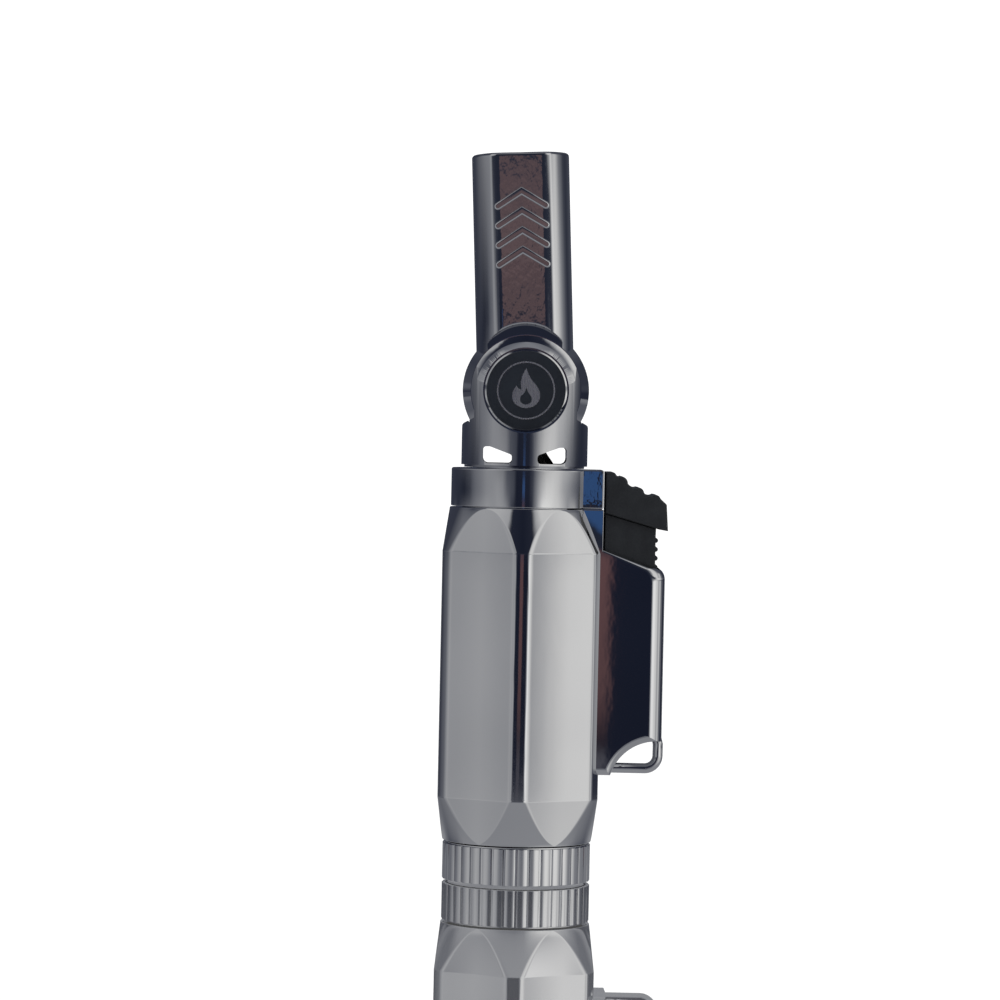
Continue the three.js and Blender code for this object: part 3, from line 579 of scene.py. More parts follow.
def fired_ceramic():
    """Unglazed off-white ceramic of the electrode's sleeve."""
    colours = (0.76, 0.73, 0.65), (0.9, 0.88, 0.82)
    return grained("ceramic", colours, (400, 3), (3000, 3), (0.5, 0.7), 0.008)


def tank_plastic():
    """Milky moulded plastic, with slow flow marks."""
    depth = {"Subsurface_Weight": 0.2, "Subsurface_Scale": 0.002}
    material, tree, shader, place = new_material("tank_plastic", **depth)
    flow = noise(tree, place, 90, 2)
    tint(tree, shader, flow, (0.74, 0.77, 0.75), (0.84, 0.86, 0.84))
    rough(tree, shader, flow, 0.22, 0.34)
    bump(tree, shader, noise(tree, place, 700, 2), 0.004 * MM)
    return material


MATERIALS = {
    "gunmetal": plated_metal("gunmetal", 9.0, 0.006),
    "gunmetal_wavy": plated_metal("gunmetal_wavy", 2.4, 0.0012, 0.014, 0.02),
    "gunmetal_choppy": plated_metal("gunmetal_choppy", 1.1, 0.005, 0.014, 0.02),
    "gunmetal_rippled": plated_metal("gunmetal_rippled", 1.2, 0.015),
    "steel": brushed_metal("steel", (0.66, 0.67, 0.69), (0.76, 0.77, 0.79), 0.2, 0.34),
    "burner_steel": brushed_metal("burner_steel", (0.4, 0.34, 0.3), (0.62, 0.58, 0.54), 0.28, 0.45),
    "brass": brushed_metal("brass", (0.7, 0.52, 0.24), (0.82, 0.64, 0.34), 0.22, 0.38),
    "trigger_black": moulded_black(),
    "tank_plastic": tank_plastic(),
    "badge_enamel": dark_enamel(),
    "rubber": soft_rubber(),
    "ceramic": fired_ceramic(),
}


def paint(made, *names):
    made.data.materials.clear()
    for name in names:
        made.data.materials.append(MATERIALS[name])
    return made


def merge_flat_faces(made, limit):
    """Joins the flat splinters that a cut leaves, up to a bend in degrees, so that walls mirror evenly."""
    mesh = bmesh.new()
    mesh.from_mesh(made.data)
    bmesh.ops.dissolve_limit(
        mesh, angle_limit=math.radians(limit), verts=mesh.verts, edges=mesh.edges, delimit={"MATERIAL"},
    )
    mesh.to_mesh(made.data)
    mesh.free()


def dress(made, body, slot, replaced=(), angle=30, merge=0.25):
    """Finishes a piece: metres, smooth faces between crisp edges, its body, slot and CAD nodes."""
    merge_flat_faces(made, merge)
    made.data.transform(Matrix.Scale(MM, 4))
    made.data.shade_smooth()
    made.data.set_sharp_from_angle(angle=math.radians(angle))
    modifier = made.modifiers.new("weighted", "WEIGHTED_NORMAL")
    modifier.keep_sharp = True
    modifier.weight = 100
    bake(made)
    if not any(made.data.materials):
        paint(made, slot)
    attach(made, body)
    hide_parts(*replaced)
    return made


# ---------------------------------------------------------------- foot and adjuster


def foot_piece():
    """The round foot and its post, with holes for the refill valve and two screws. Its outer wall is painted
    matt black as painted shade: a dark line of contact shadow where the foot meets the floor.
    """
    radius, edge, height, post = FOOT["radius"], FOOT["edge"], FOOT["height"], FOOT["post"]
    outline = [
        (radius - edge, 0), (radius, edge), (radius, height - 0.15), (radius - 0.15, height), (post, height),
        (post, FOOT["post_top"]),
    ]
    made = lathe("foot", outline, 160)
    cut(made, rod("fill_hole", FILL_HOLE["radius"], -1, 13, 48, 0, FILL_HOLE["y"]))
    for x in (-SCREW["x"], SCREW["x"]):
        hole = rod("screw_hole", SCREW["hole"], -1, 13, 32, x, SCREW["y"])
        seat = rod("screw_seat", SCREW["seat"], -1, SCREW["seat_depth"], 48, x, SCREW["y"])
        cut(made, hole, seat)
    soften(made, 0.12)
    paint(made, "gunmetal", "trigger_black")
    # Painted shade: the foot's upright outer wall takes the black material to stand in for the contact
    # shadow at the floor; the casting itself is gunmetal.
    for face in made.data.polygons:
        at_painted_shade_rim = math.hypot(face.center.x, face.center.y) > radius - 0.2
        face.material_index = 1 if at_painted_shade_rim and abs(face.normal.z) < 0.5 else 0
    dress(made, "body", "gunmetal", ["base_plate"])


def rib_radius(share):
    """Radius of the knurled rim at a place along one rib, from -0.5 to 0.5 of its pitch."""
    crown = RING["radius"] - RING["crown"] * (share / 0.4) ** 2
    side = (abs(share) - 0.385) / 0.055
    fall = min(1.0, max(0.0, side))
    fall = fall * fall * (3 - 2 * fall)
    return crown + (RING["root"] - crown) * fall


def knurled_ring(shrink, z):
    """One ring of points round the rim, crowded at the flanks of the ribs."""
    samples = [-0.5, -0.46, -0.44, -0.425, -0.41, -0.39, -0.36, -0.3, -0.2, -0.1, 0]
    samples += [-s for s in reversed(samples[1:-1])]
    ring = []
    for i in range(RING["ribs"]):
        for share in samples:
            turn = 2 * math.pi * (i + share) / RING["ribs"]
            radius = rib_radius(share) - shrink
            ring.append((radius * math.cos(turn), radius * math.sin(turn), z))
    return ring


def ramp_step(index):
    """One step of the helical ramp inside the ring, which lifts the regulator pin."""
    low, steps = RAMP["low"], RAMP["steps"]
    turn = math.radians(RAMP["sweep"] / steps)
    start = math.pi - math.radians(RAMP["sweep"]) / 2 + turn * index
    end = start + turn * 1.02  # a little into the next step, so that the two join
    top = low + RAMP["rise"] * (1 - (index + 0.5) / steps)
    outline = arc((0, 0), RAMP["outer"], start, end, 4) + arc((0, 0), RAMP["inner"], end, start, 4)
    return skin("ramp_step", [[(x, y, z) for x, y in outline] for z in (low - 0.6, top)])


def adjuster_piece():
    """The knurled ring: a lip on top, a bore for the foot's post and the ramp inside."""
    bottom, top, outer, inner = RING["bottom"], RING["top"], RING["lip_outer"], RING["lip_inner"]
    rim = edge_steps(0.12)
    rings = [knurled_ring(shrink, bottom + depth) for shrink, depth in rim]
    rings += [knurled_ring(shrink, top - depth) for shrink, depth in reversed(rim)]
    made = skin("adjuster", rings)
    lip = [(outer, top - 1), (outer, top + 0.2), (inner, top + 0.2), (inner, top - 1)]
    join(made, lathe("lip", lip, looped=True))
    ramp_room = rod("ramp_room", RAMP["outer"] + 0.35, RAMP["low"], 10, 96)
    foot_room = rod("foot_room", FOOT["radius"] + 0.25, 0, RING["web"], 128)
    cut(made, rod("ring_bore", RING["bore"], 0, 10, 96), foot_room, ramp_room)
    join(made, *[ramp_step(index) for index in range(RAMP["steps"])])
    dress(made, "adjuster", "gunmetal", ["adjuster_ring"])


# ---------------------------------------------------------------- body shell


def soft_min(a, b, blend):
    """The smaller of two values, with a rounded change-over."""
    near = max(blend - abs(a - b), 0) / blend
    return min(a, b) - near * near * blend / 4


def facet_shape(z):
    """A facet's distance from the axis and half its width, which ends in a pointed arch at both ends."""
    shell = SHELL
    full = math.sqrt(shell["radius"] ** 2 - shell["apothem"] ** 2)
    below = (shell["waist"] - z) / (shell["waist"] - shell["bottom"] - 0.2)
    above = (z - shell["shoulder"]) / (shell["top"] - shell["shoulder"] - 0.2)
    if below > 0:
        share, end, arch = min(1, below), shell["foot_radius"], 0.65
    else:
        share, end, arch = min(1, max(0, above)), shell["neck_radius"], 0.5
    return shell["apothem"] - (shell["apothem"] - end) * share, full * (1 - share) ** arch


def border_angle(z):
    """Half the angle that a facet spans at a height."""
    distance, half = facet_shape(z)
    return max(math.radians(0.4), math.atan2(half, distance))


def shell_point(turn, z):
    """Radius of the six-sided shell at an angle from the middle of the nearest facet."""
    distance, half = facet_shape(z)
    border = border_angle(z)
    offset = distance * math.tan(turn)
    hollow = (half * half - offset * offset) / (2 * SHELL["dish"])
    facet = (distance - hollow) / math.cos(turn)
    blend = max(0.004, SHELL["fillet"] * border * math.tan(border) / 2)
    return soft_min(math.hypot(distance, half), facet, blend)


def shell_turns(z):
    """Angles of the mesh columns in one sixth, crowded where the facet meets the round strip."""
    border = border_angle(z)
    sixth = math.radians(30)
    band = min(0.55 * SHELL["fillet"] * border / SHELL["radius"], border * 0.6, (sixth - border) * 0.8)
    inner, outer = border - band, border + band
    turns = [-inner + 2 * inner * k / 10 for k in range(10)]
    turns += [inner + 2 * band * k / 6 for k in range(6)]
    turns += [outer + 2 * (sixth - outer) * k / 6 for k in range(6)]
    turns += [2 * sixth - outer + 2 * band * k / 6 for k in range(6)]
    return turns


def shell_ring(z, shrink=0.0):
    """The shell's outline at a height, as a ring of points."""
    sixth = math.radians(30)
    ring = []
    for i in range(6):
        middle = math.radians(60 * i)
        for turn in shell_turns(z):
            radius = shell_point(turn if turn < sixth else turn - 2 * sixth, z) - shrink
            ring.append((radius * math.cos(middle + turn), radius * math.sin(middle + turn), z))
    return ring


def shell_levels():
    """Heights of the shell's rings, crowded where the facets bend at the waist and the shoulder."""
    shell = SHELL
    low, waist, shoulder, top = shell["bottom"], shell["waist"], shell["shoulder"], shell["top"]
    levels = [low + 0.35 + (waist - 0.6 - low - 0.35) * k / 16 for k in range(16)]
    levels += [waist - 0.6 + 1.2 * k / 10 for k in range(10)]
    levels += [waist + 0.6 + (shoulder - waist - 0.6) * k / 12 for k in range(12)]
    levels.append(shoulder - 0.12)
    levels += [shoulder + (top - 0.2 - shoulder) * (k / 44) for k in range(45)]
    return levels


def shell_core():
    low, top = SHELL["bottom"], SHELL["top"]
    rings = [shell_ring(low, 0.14), shell_ring(low + 0.03, 0.06), shell_ring(low + 0.1, 0.01)]
    rings += [shell_ring(z) for z in shell_levels()]
    rings += [shell_ring(top - 0.12, 0.02), shell_ring(top - 0.04, 0.08), shell_ring(top, 0.2)]
    return skin("body_shell_fine", rings)


def casing_section(y):
    """Outline of the trigger casing at a distance from its middle plane."""
    housing, scoop = HOUSING, SCOOP
    side = housing["half"] - abs(y)

    def rounding(radius):
        reach = max(0.0, radius - side)
        return radius - math.sqrt(max(0.0, radius * radius - reach * reach))

    outer = housing["outer"] - rounding(housing["corner"])
    shift = rounding(housing["scoop_edge"])
    drop = rounding(housing["top_edge"])
    radius = scoop["radius"] + shift
    tip_z = scoop["tip"] - 0.3 + shift
    tip_angle = math.pi - math.asin((tip_z - scoop["z"]) / radius)
    edge_angle = math.acos((outer - scoop["x"]) / radius)
    points = [(10, tip_z)]
    points += arc((scoop["x"], scoop["z"]), radius, tip_angle, edge_angle, 40)
    lip = housing["lip_top"] - drop
    slope = (housing["spine_top"] - housing["lip_top"]) / (housing["spine"] - housing["outer"] + 1.6)
    points.append((outer, lip - 2))
    lip_end = (outer - 1.6, lip + 0.4 - slope * 0.4)
    points += bend((outer, lip - 2), (outer, lip - 0.1 - slope * 0.2), lip_end, 10)
    points += [(housing["spine"], housing["spine_top"] - drop), (10, housing["spine_top"] - drop)]
    return [(x, y, z) for x, z in points]


def casing():
    """The thumb trigger's casing: rounded outer corners, a scooped foot and a slanting top."""
    half = HOUSING["half"]
    depths = {0.0}
    for radius in (HOUSING["corner"], HOUSING["scoop_edge"], HOUSING["top_edge"]):
        depths |= {half - radius + radius * math.sin(math.pi / 2 * k / 8) for k in range(9)}
    depths = sorted(depths)
    depths = [-y for y in reversed(depths[1:])] + depths
    return skin("casing", [casing_section(y) for y in depths])


def shell_rooms():
    """What is cut out of the shell: bore, trigger well, and holes for the lever, the wire and the loop."""
    inner, outer, half = POCKET["inner"], POCKET["outer"], POCKET["half"]
    bore = lathe("bore", [
        (SHELL["bore"], 0), (SHELL["bore"], SHELL["neck_bore_from"]),
        (SHELL["neck_bore"], SHELL["neck_bore_from"]), (SHELL["neck_bore"], FAR),
    ], 128)
    well = brick("well", (inner, -half, POCKET["floor"]), (outer, half, FAR), 0.4)
    window = brick("window", (11.6, -2.6, 62.8), (inner + 1, 2.6, 71.6))
    wire_hole = brick("wire_hole", (12, -5.8, 46.8), (inner + 1, -3.2, 50.4))
    leg_hole = rod("leg_hole", 0.9, 25, 30.7, 24, LOOP["leg_x"] - 0.6, 0)
    return bore, well, window, wire_hole, leg_hole


def shell_piece():
    """The six-sided shell and the trigger's casing, in one casting."""
    half = HOUSING["half"]
    made = shell_core()
    paint(made, "gunmetal")
    side = casing()
    spine = brick("spine", (8, -half, 60), (HOUSING["spine"], half, SHELL["top"]), 0.2)
    for part in (side, spine):
        paint(part, "gunmetal_wavy")
    join(made, join(side, spine))
    cut(made, *shell_rooms())
    dress(made, "body", "gunmetal", ["body_shell"], 24, 0.01)


def loop_piece():
    """The lanyard wire: down out of the casing, round a bend and back into the shell."""
    leg_x, leg_top, low, end = LOOP["leg_x"], LOOP["leg_top"], LOOP["run_z"], LOOP["run_end"]
    path = [(leg_x - 0.6, leg_top + 1.8), (leg_x - 0.3, leg_top + 0.6), (leg_x, leg_top - 0.6)]
    path += arc((leg_x - LOOP["bend"], low + LOOP["bend"]), LOOP["bend"], 0, -math.pi / 2, 16)
    path += [(end + 2, low), (end, low), (end - 2.6, low)]
    made = tube("lanyard_wire", [(x, 0, z) for x, z in path], LOOP["wire"], 28)
    dress(made, "body", "gunmetal", ["lanyard_loop"])


# ---------------------------------------------------------------- collar and fork


def collar_piece():
    """The round collar with the block on its trigger side, and the spigot that holds it in the shell."""
    collar, half = COLLAR, HOUSING["half"]
    bottom, top, radius = collar["bottom"], collar["top"], collar["radius"]
    profile = [
        (collar["spigot"], collar["spigot_bottom"]), (collar["spigot"], bottom), (radius - 0.15, bottom),
        (radius - 0.04, bottom + 0.05), (radius, bottom + 0.15),
    ]
    profile += [(radius - shift, top - depth) for shift, depth in reversed(edge_steps(0.4))]
    made = lathe("collar", profile, 192)
    ledge = brick("ledge", (8, -half, bottom), (collar["block"], half, top), 0.3)
    paint(made, "gunmetal")
    paint(ledge, "gunmetal_choppy")
    join(made, ledge)
    bore = rod("collar_bore", collar["bore"], 0, top - 1.4, 96)
    cut(made, bore, rod("collar_hole", collar["hole"], 0, FAR, 96))
    dress(made, "body", "gunmetal", ["collar_cap"])


def fork_silhouette():
    """Front view of the fork: neck and flange, sloped shoulders, and round ears."""
    radius, waist, eye, over = FORK["radius"], FORK["waist"], FORK["eye"], 1.0
    edge, top = FORK["shoulder"], FORK["shoulder_top"]
    meet = -math.acos(waist / eye)
    right = [(radius + over, FORK["neck_bottom"] - over), (radius + over, edge - 3)]
    corners = [(radius, edge - 3), (radius, edge), (waist, top), (waist, top + 1)]
    shoulder = rounded(corners, [0, 0.9, 0.35, 0], 6)
    crown = arc((0, PIVOT_Z), eye, meet, math.pi - meet, 96)
    left = [(-x, z) for x, z in reversed(right + shoulder)]
    return right + shoulder + crown + left


def vent_outline(side):
    """A vent with rounded corners, taller on its outer side."""
    inner, outer, low, high = VENT["inner"], VENT["outer"], VENT["low"], VENT["high"]
    corners = [(inner, low), (outer, low), (outer, high), (outer - 1.4, high), (inner, low + 1.7)]
    outline = rounded(corners, [0.75, 1.1, 0.7, 0.4, 0.75], 6)
    return [(side * x, z) for x, z in outline]


def ear_band_cutter(side):
    """Cuts the sloped bands round the top of an ear, outside the badge."""
    section, clear = EAR_BAND["section"], FORK["radius"] + 2
    profile = section + [(section[-1][0], clear), (section[0][0], clear)]
    ring = across(lathe("band", profile, 192, looped=True), PIVOT_Z - EAR_BAND["below_pivot"])
    common(ring, brick("upper", (-WIDE, -WIDE, PIVOT_Z), (WIDE, WIDE, FAR)))
    return on_side(ring, side)


def fork_rooms():
    """What is cut out between the ears: the chamber for the hose, and the knuckle's room."""
    bore, inner, floor, slot = FORK["neck_bore"], FORK["inner"], FORK["bottom"] + 0.3, FORK["slot"]
    chamber = lathe("chamber", [(bore, 0), (bore, floor), (inner, floor), (inner, FORK["bore_top"])], 96)
    room = across(rod("room", HEAD["knuckle"] + 0.35, -slot, slot, 128))
    above = brick("above", (-WIDE, -slot, PIVOT_Z), (WIDE, slot, FAR))
    return chamber, room, above


def fork_piece():
    """The fork that holds the head between two ears, with a badge seat on each and four vents."""
    neck, flange, radius, bottom = FORK["neck"], FORK["flange"], FORK["radius"], FORK["bottom"]
    profile = [
        (neck, FORK["neck_bottom"]), (neck, FORK["base"]), (flange, FORK["base"]), (flange, bottom),
        (radius, bottom), (radius, 112),
    ]
    made = lathe("fork", profile, 192)
    common(made, slab("silhouette", fork_silhouette(), -WIDE, WIDE))
    cut(made, *fork_rooms())
    for side in (-1, 1):
        seat = across(rod("seat", BADGE["seat"], BADGE["seat"], 20, 160))
        cut(made, on_side(seat, side), ear_band_cutter(side))
        cut(made, slab("vent", vent_outline(side), -WIDE, WIDE))
    cut(made, across(rod("pin_hole", PIN["radius"] + PIN["gap"], -WIDE, WIDE, 48)))
    soften(made, 0.22)
    dress(made, "body", "gunmetal", ["pivot_fork"])


# ---------------------------------------------------------------- badges


def badge_profile():
    """From the back, round the polished bezel, to the sunken enamel face."""
    radius, back, face, bezel = BADGE["radius"], BADGE["back"], BADGE["face"], BADGE["bezel"]
    return [
        (radius, back), (radius, face - 0.2), (radius - 0.05, face - 0.12), (radius - bezel, face),
        (radius - bezel - 0.06, face - 0.08),
    ]


def badge_piece(end, side):
    """An enamelled disc with a polished bezel and a flame."""
    made = across(lathe(end + "_badge_disc", badge_profile(), 160))
    paint(made, "badge_enamel", "gunmetal")
    rim = BADGE["radius"] - BADGE["bezel"] - 0.1
    for face in made.data.polygons:
        far_out = math.hypot(face.center.x, face.center.z - PIVOT_Z) > rim
        face.material_index = 1 if far_out else 0
    dress(on_side(made, side), "body", "badge_enamel", [end + "_badge"])
    flame_emblem(end, side)


def flame_outline():
    """A plain flame pictogram, centred on the badge."""
    belly = chain(
        (0, 4.4), 8, ((0.5, 2.6), (1.7, 1.4)), ((3.1, -0.2), (2.7, -1.7)), ((2.2, -3.3), (0, -3.5)),
        ((-2.3, -3.3), (-2.7, -1.6)), ((-2.9, -0.3), (-1.9, 0.9)),
    )
    notch = bend((-1.9, 0.9), (-1.5, 0.1), (-0.9, 0.2), 6)
    return belly + notch + bend((-0.9, 0.2), (-1.5, 2.2), (0, 4.4), 8)


def flame_core():
    """The drop left open in the flame."""
    right = bend((0.1, 0.6), (0.3, -0.4), (1.0, -1.1), 6)
    bottom = chain((1.0, -1.1), 8, ((1.6, -2.6), (0, -2.8)), ((-1.6, -2.6), (-1.0, -1.1)))
    return right + bottom + bend((-1.0, -1.1), (-0.2, -0.6), (0.1, 0.6), 6)


def flame_emblem(end, side):
    """The flame in its ring, a hair below the bezel."""
    base, top = BADGE["face"] - 0.12, BADGE["face"] - 0.01
    outer, inner = EMBLEM["outer"], EMBLEM["inner"]
    made = slab(end + "_emblem", flame_outline(), base, top)
    cut(made, slab("core", flame_core(), base - 1, top + 1))
    ring = lathe("emblem_ring", [(outer, base), (outer, top), (inner, top), (inner, base)], 128, looped=True)
    join(made, across(ring, 0))
    moved(made, Matrix.Translation((0, 0, PIVOT_Z)))
    dress(on_side(made, side), "body", "steel")


# ---------------------------------------------------------------- tilting head, from the pivot up


def tube_ring(z, shrink=0.0):
    """Round section with a flat on the front and on the back."""
    ring = []
    for k in range(360):
        turn = 2 * math.pi * k / 360
        flat = HEAD["flat"] / max(0.05, abs(math.sin(turn)))
        radius = soft_min(HEAD["radius"], flat, HEAD["blend"]) - shrink
        ring.append((radius * math.cos(turn), radius * math.sin(turn), z))
    return ring


def barrel():
    """The tube; its flats carry the wavier plating."""
    length = HEAD["length"]
    rim = edge_steps(HEAD["edge"], 6)
    rings = [tube_ring(0)]
    rings += [tube_ring(length - depth, shift) for shift, depth in reversed(rim)]
    made = skin("barrel", rings)
    paint(made, "gunmetal", "gunmetal_rippled")
    for face in made.data.polygons:
        face.material_index = 1 if abs(face.normal.y) > 0.99 else 0
    return made


def knuckle():
    """The disc between the ears, with a steep chamfer on both rims."""
    cheek, radius, chamfer = HEAD["cheek"], HEAD["knuckle"], HEAD["chamfer"]
    edge = cheek - chamfer * math.tan(math.radians(60))
    profile = [
        (radius - chamfer, -cheek), (radius - 0.12, -edge), (radius, 0.2 - edge),
        (radius, edge - 0.2), (radius - 0.12, edge), (radius - chamfer, cheek),
    ]
    return across(lathe("knuckle", profile, 160), 0)


def dish_cutter(side):
    """Room for an ear in the nozzle's flat, under a shallow crescent with a bevelled rim."""
    rim, flat, floor = HEAD["dish"], HEAD["flat"], HEAD["dish_floor"]
    profile = [
        (rim - 3, floor + 0.3), (rim - 0.2, floor), (rim, floor + 0.15), (rim, flat - 0.12),
        (rim + 0.36, flat + 0.02), (rim + 0.36, flat + 1),
    ]
    crescent = across(lathe("crescent", profile, 192), 0)
    moved(crescent, Matrix.Translation((0, 0, HEAD["dish_lift"])))
    ear_room = across(rod("ear_room", HEAD["ear_room"], HEAD["cheek"], flat + 1, 192), 0)
    return on_side(join(ear_room, crescent), side)


def chevron_outline(index):
    """A round-ended V stroke, with its point up."""
    half, drop, stroke = CHEVRON["half"], CHEVRON["drop"], CHEVRON["stroke"]
    apex = HEAD["length"] - CHEVRON["first"] - stroke - CHEVRON["pitch"] * index
    slope = math.atan2(drop, half)
    lift = stroke / math.cos(slope)
    right_end = arc((half, apex - drop), stroke, -math.pi / 2 - slope, math.pi / 2 - slope, 10)
    left_end = [(-x, z) for x, z in reversed(right_end)]
    return [(0, apex - lift)] + right_end + [(0, apex + lift)] + left_end


def hose_slot():
    """The slot in the knuckle that clears the hose through the whole tilt."""
    far = WIDE * math.sin(HEAD["slot_reach"])
    deep = WIDE * math.cos(HEAD["slot_reach"])
    outline = [(0, 0), (-far, -deep), (-far, -WIDE), (far, -WIDE), (far, -deep)]
    return slab("hose_slot", outline, -HEAD["slot"], HEAD["slot"])


def nozzle_rooms():
    """What is cut out of the head: the flared bore, and room for pins, core, hose and pipe."""
    bore, floor, length, slot = HEAD["bore"], HEAD["bore_floor"], HEAD["length"], HEAD["slot"]
    edge = length - 0.35
    profile = [(bore, floor), (bore, edge), (bore + 0.1, edge + 0.25), (bore + 0.45, length + 0.1)]
    pin_room = across(rod("pin_room", PIN["radius"] + PIN["gap"], -10, 10, 64), 0)
    core_room = across(rod("core_room", HEAD["core_room"], -slot, slot, 64), 0)
    pipe_room = rod("pipe_room", HEAD["pipe_room"], 0, 20, 32)
    return lathe("nozzle_bore", profile, 128), pin_room, core_room, hose_slot(), pipe_room


def nozzle_piece():
    """Tube, knuckle and chevrons, in one casting."""
    made = barrel()
    cut(made, dish_cutter(1), dish_cutter(-1))
    join(made, knuckle())
    low, high = HEAD["flat"] - 0.4, HEAD["flat"] + CHEVRON["height"]
    for index in range(CHEVRON["count"]):
        for side in (-1, 1):
            join(made, on_side(slab("chevron", chevron_outline(index), low, high, 0.36, 6), side))
    cut(made, *nozzle_rooms())
    dress(lean(made), "head", "gunmetal", ["nozzle_barrel"], 26)


def lean(made):
    """Puts a head piece from the head's own frame into the torch's frame."""
    return moved(made, Matrix.Translation((0, 0, PIVOT_Z)) @ Matrix.Rotation(LEAN, 4, "Y"))


def liner_piece():
    """The heat-tinted liner inside the muzzle."""
    outer, inner, edge = LINER["outer"], LINER["inner"], 0.1
    low, high = BURNER["bottom"] + 1.3, HEAD["length"] - 0.6
    profile = [
        (outer, low), (outer, high - edge), (outer - edge, high), (inner + edge, high), (inner, high - edge),
        (inner, low),
    ]
    made = lathe("liner", profile, 128, looped=True)
    dress(lean(made), "head", "burner_steel", ["muzzle_liner"])


def burner_piece():
    """The burner tube on its flange, with room for the electrode's sleeve."""
    low, top, radius, bore = BURNER["bottom"], BURNER["top"], BURNER["radius"], BURNER["bore"]
    flange, inlet, web, edge = BURNER["flange"], BURNER["inlet"], BURNER["web"], 0.12
    profile = [
        (inlet, low), (flange, low), (flange, low + web), (radius, low + web), (radius, top - edge),
        (radius - edge, top), (bore + edge, top), (bore, top - edge), (bore, low + web), (inlet, low + web),
    ]
    made = lathe("burner", profile, 96, looped=True)
    cut(made, rod("tube_room", ELECTRODE["tube"] + 0.1, low - 1, low + 1.4, 24, ELECTRODE["x"], 0))
    dress(lean(made), "head", "brass", ["burner_tube"])


def flame_holder_piece():
    """The disc with a ring of holes round a larger one, near the burner's mouth."""
    radius, low, high, edge = HOLDER["radius"], HOLDER["bottom"], HOLDER["top"], 0.15
    profile = [(radius - edge, low), (radius, low + edge), (radius, high - edge), (radius - edge, high)]
    made = lathe("holder", profile, 64)
    holes = [rod("hole", HOLDER["hole"], 30, 42, 32)]
    for k in range(HOLDER["outer_holes"]):
        turn = 2 * math.pi * k / HOLDER["outer_holes"]
        x, y = HOLDER["outer_reach"] * math.cos(turn), HOLDER["outer_reach"] * math.sin(turn)
        holes.append(rod("hole", HOLDER["outer_hole"], 30, 42, 24, x, y))
    cut(made, *holes)
    dress(lean(made), "head", "burner_steel", ["flame_holder"])


def electrode_pieces():
    """The spark electrode, bent in over the burner's mouth, and its ceramic sleeve."""
    x, radius = ELECTRODE["x"], ELECTRODE["radius"]
    low, high, outer, inner = ELECTRODE["bottom"], ELECTRODE["top"], ELECTRODE["tube"], radius + 0.1
    profile = [(outer, low), (outer, high - 0.15), (outer - 0.15, high), (inner, high), (inner, low)]
    made = moved(lathe("electrode_sleeve", profile, 40, looped=True), Matrix.Translation((x, 0, 0)))
    dress(lean(made), "head", "ceramic", ["electrode_tube"])
    route = [(x, 0, 10.4), (x, 0, 25), (x, 0, 39), (5.1, 0, 40.4), (4, 0, 41.2), (2.4, 0, 41.3)]
    wire = tube("electrode", smooth_route(route, 8), radius, 14)
    dress(lean(wire), "head", "steel", ["spark_electrode"])


# ---------------------------------------------------------------- trigger


def cap_outline():
    """Side view of the thumb pad: its underside, then the waves of its top, inwards and up."""
    inner = TRIGGER["inner"]
    top = chain(
        (27.15, 77.2), 6, ((26.9, 78.0), (25.8, 78.0)), ((25.2, 77.6), (24.55, 77.9)),
        ((24.2, 77.95), (23.85, 78.3)), ((23.7, 79.3), (22.5, 79.4)), ((21.9, 79.1), (21.0, 79.7)),
        ((20.8, 79.8), (20.6, 80.1)), ((20.5, 81.3), (19.3, 81.5)), ((18.7, 81.2), (18.25, 81.75)),
        ((18.0, 82.3), (17.4, 82.3)),
    )
    return [(inner, 74.1), (26.9, 71.1), (28.75, 70.8), (28.4, 76.05), (27.15, 77.2), *top, (inner, 82.3)]


def stem_outline():
    """Side view of the stem, with its ribs on the outer edge."""
    inner, outer, low = TRIGGER["inner"], TRIGGER["stem_outer"], TRIGGER["stem_bottom"]
    points = [(inner, low), (outer, low)]
    for i in reversed(range(TRIGGER["ribs"])):
        z = TRIGGER["rib_top"] - TRIGGER["rib_pitch"] * i
        points += arc((outer - 0.05, z), TRIGGER["rib"], -math.pi / 2, math.pi / 2, 8)
    return points + [(outer, 71.2), (inner, 74.06)]


def trigger_pieces():
    """The thumb pad, and the stem with the lug that presses the valve lever."""
    cap_half, stem_half, lug_half = TRIGGER["cap_half"], TRIGGER["stem_half"], TRIGGER["lug_half"]
    cap = slab("thumb_pad", cap_outline(), -cap_half, cap_half, 0.3)
    dress(cap, "trigger", "trigger_black", ["trigger_cap"], 40)
    stem = slab("thumb_slide", stem_outline(), -stem_half, stem_half, 0.25)
    join(stem, brick("lug", (14.4, -lug_half, 69.6), (TRIGGER["inner"] + 1, lug_half, 71), 0.2))
    dress(stem, "trigger", "trigger_black", ["trigger_stem"], 40)


# ---------------------------------------------------------------- hose, wire and carried CAD nodes


def hose_pieces():
    """The gas hose and the ignition wire, up to the pivot."""
    hose = smooth_route([
        (0, 6.6, 63), (0, 7.6, 63), (1.2, 8.6, 66), (3, 7.4, 71), (4.7, 5.2, 76), (5.3, 3.6, 80),
        (4.8, 1.8, 82.8), (3.6, 0.8, 84.6), (2.2, 0.65, 86.8), (0.9, 0.65, 89.6), (0, 0.65, 93.3),
    ], 8)
    dress(tube("hose", hose, HOSE_RADIUS, 24), "body", "rubber", ["gas_hose"])
    wire = smooth_route([
        (17.8, -4.1, 48), (15.5, -4.5, 48), (13, -4.5, 48.2), (12, -4.6, 51), (11.9, -4.8, 56),
        (11, -5, 62), (8.6, -4.6, 68), (7.2, -4.4, 74), (5.8, -4, 79.5), (4.2, -2.4, 83),
        (2.6, -1.4, 85.4), (0.8, -1.4, 89), (0, -1.4, 95.3),
    ], 6)
    dress(tube("wire", wire, WIRE_RADIUS, 14), "body", "rubber", ["ignition_wire"])


def paint_carried_nodes():
    """Gives every CAD node its slot's material, shown or not."""
    slots = {part["node"]: part["material_slot"] for part in frame["record"]["subparts"]}
    for name, node in frame["nodes"].items():
        paint(node, slots[name])


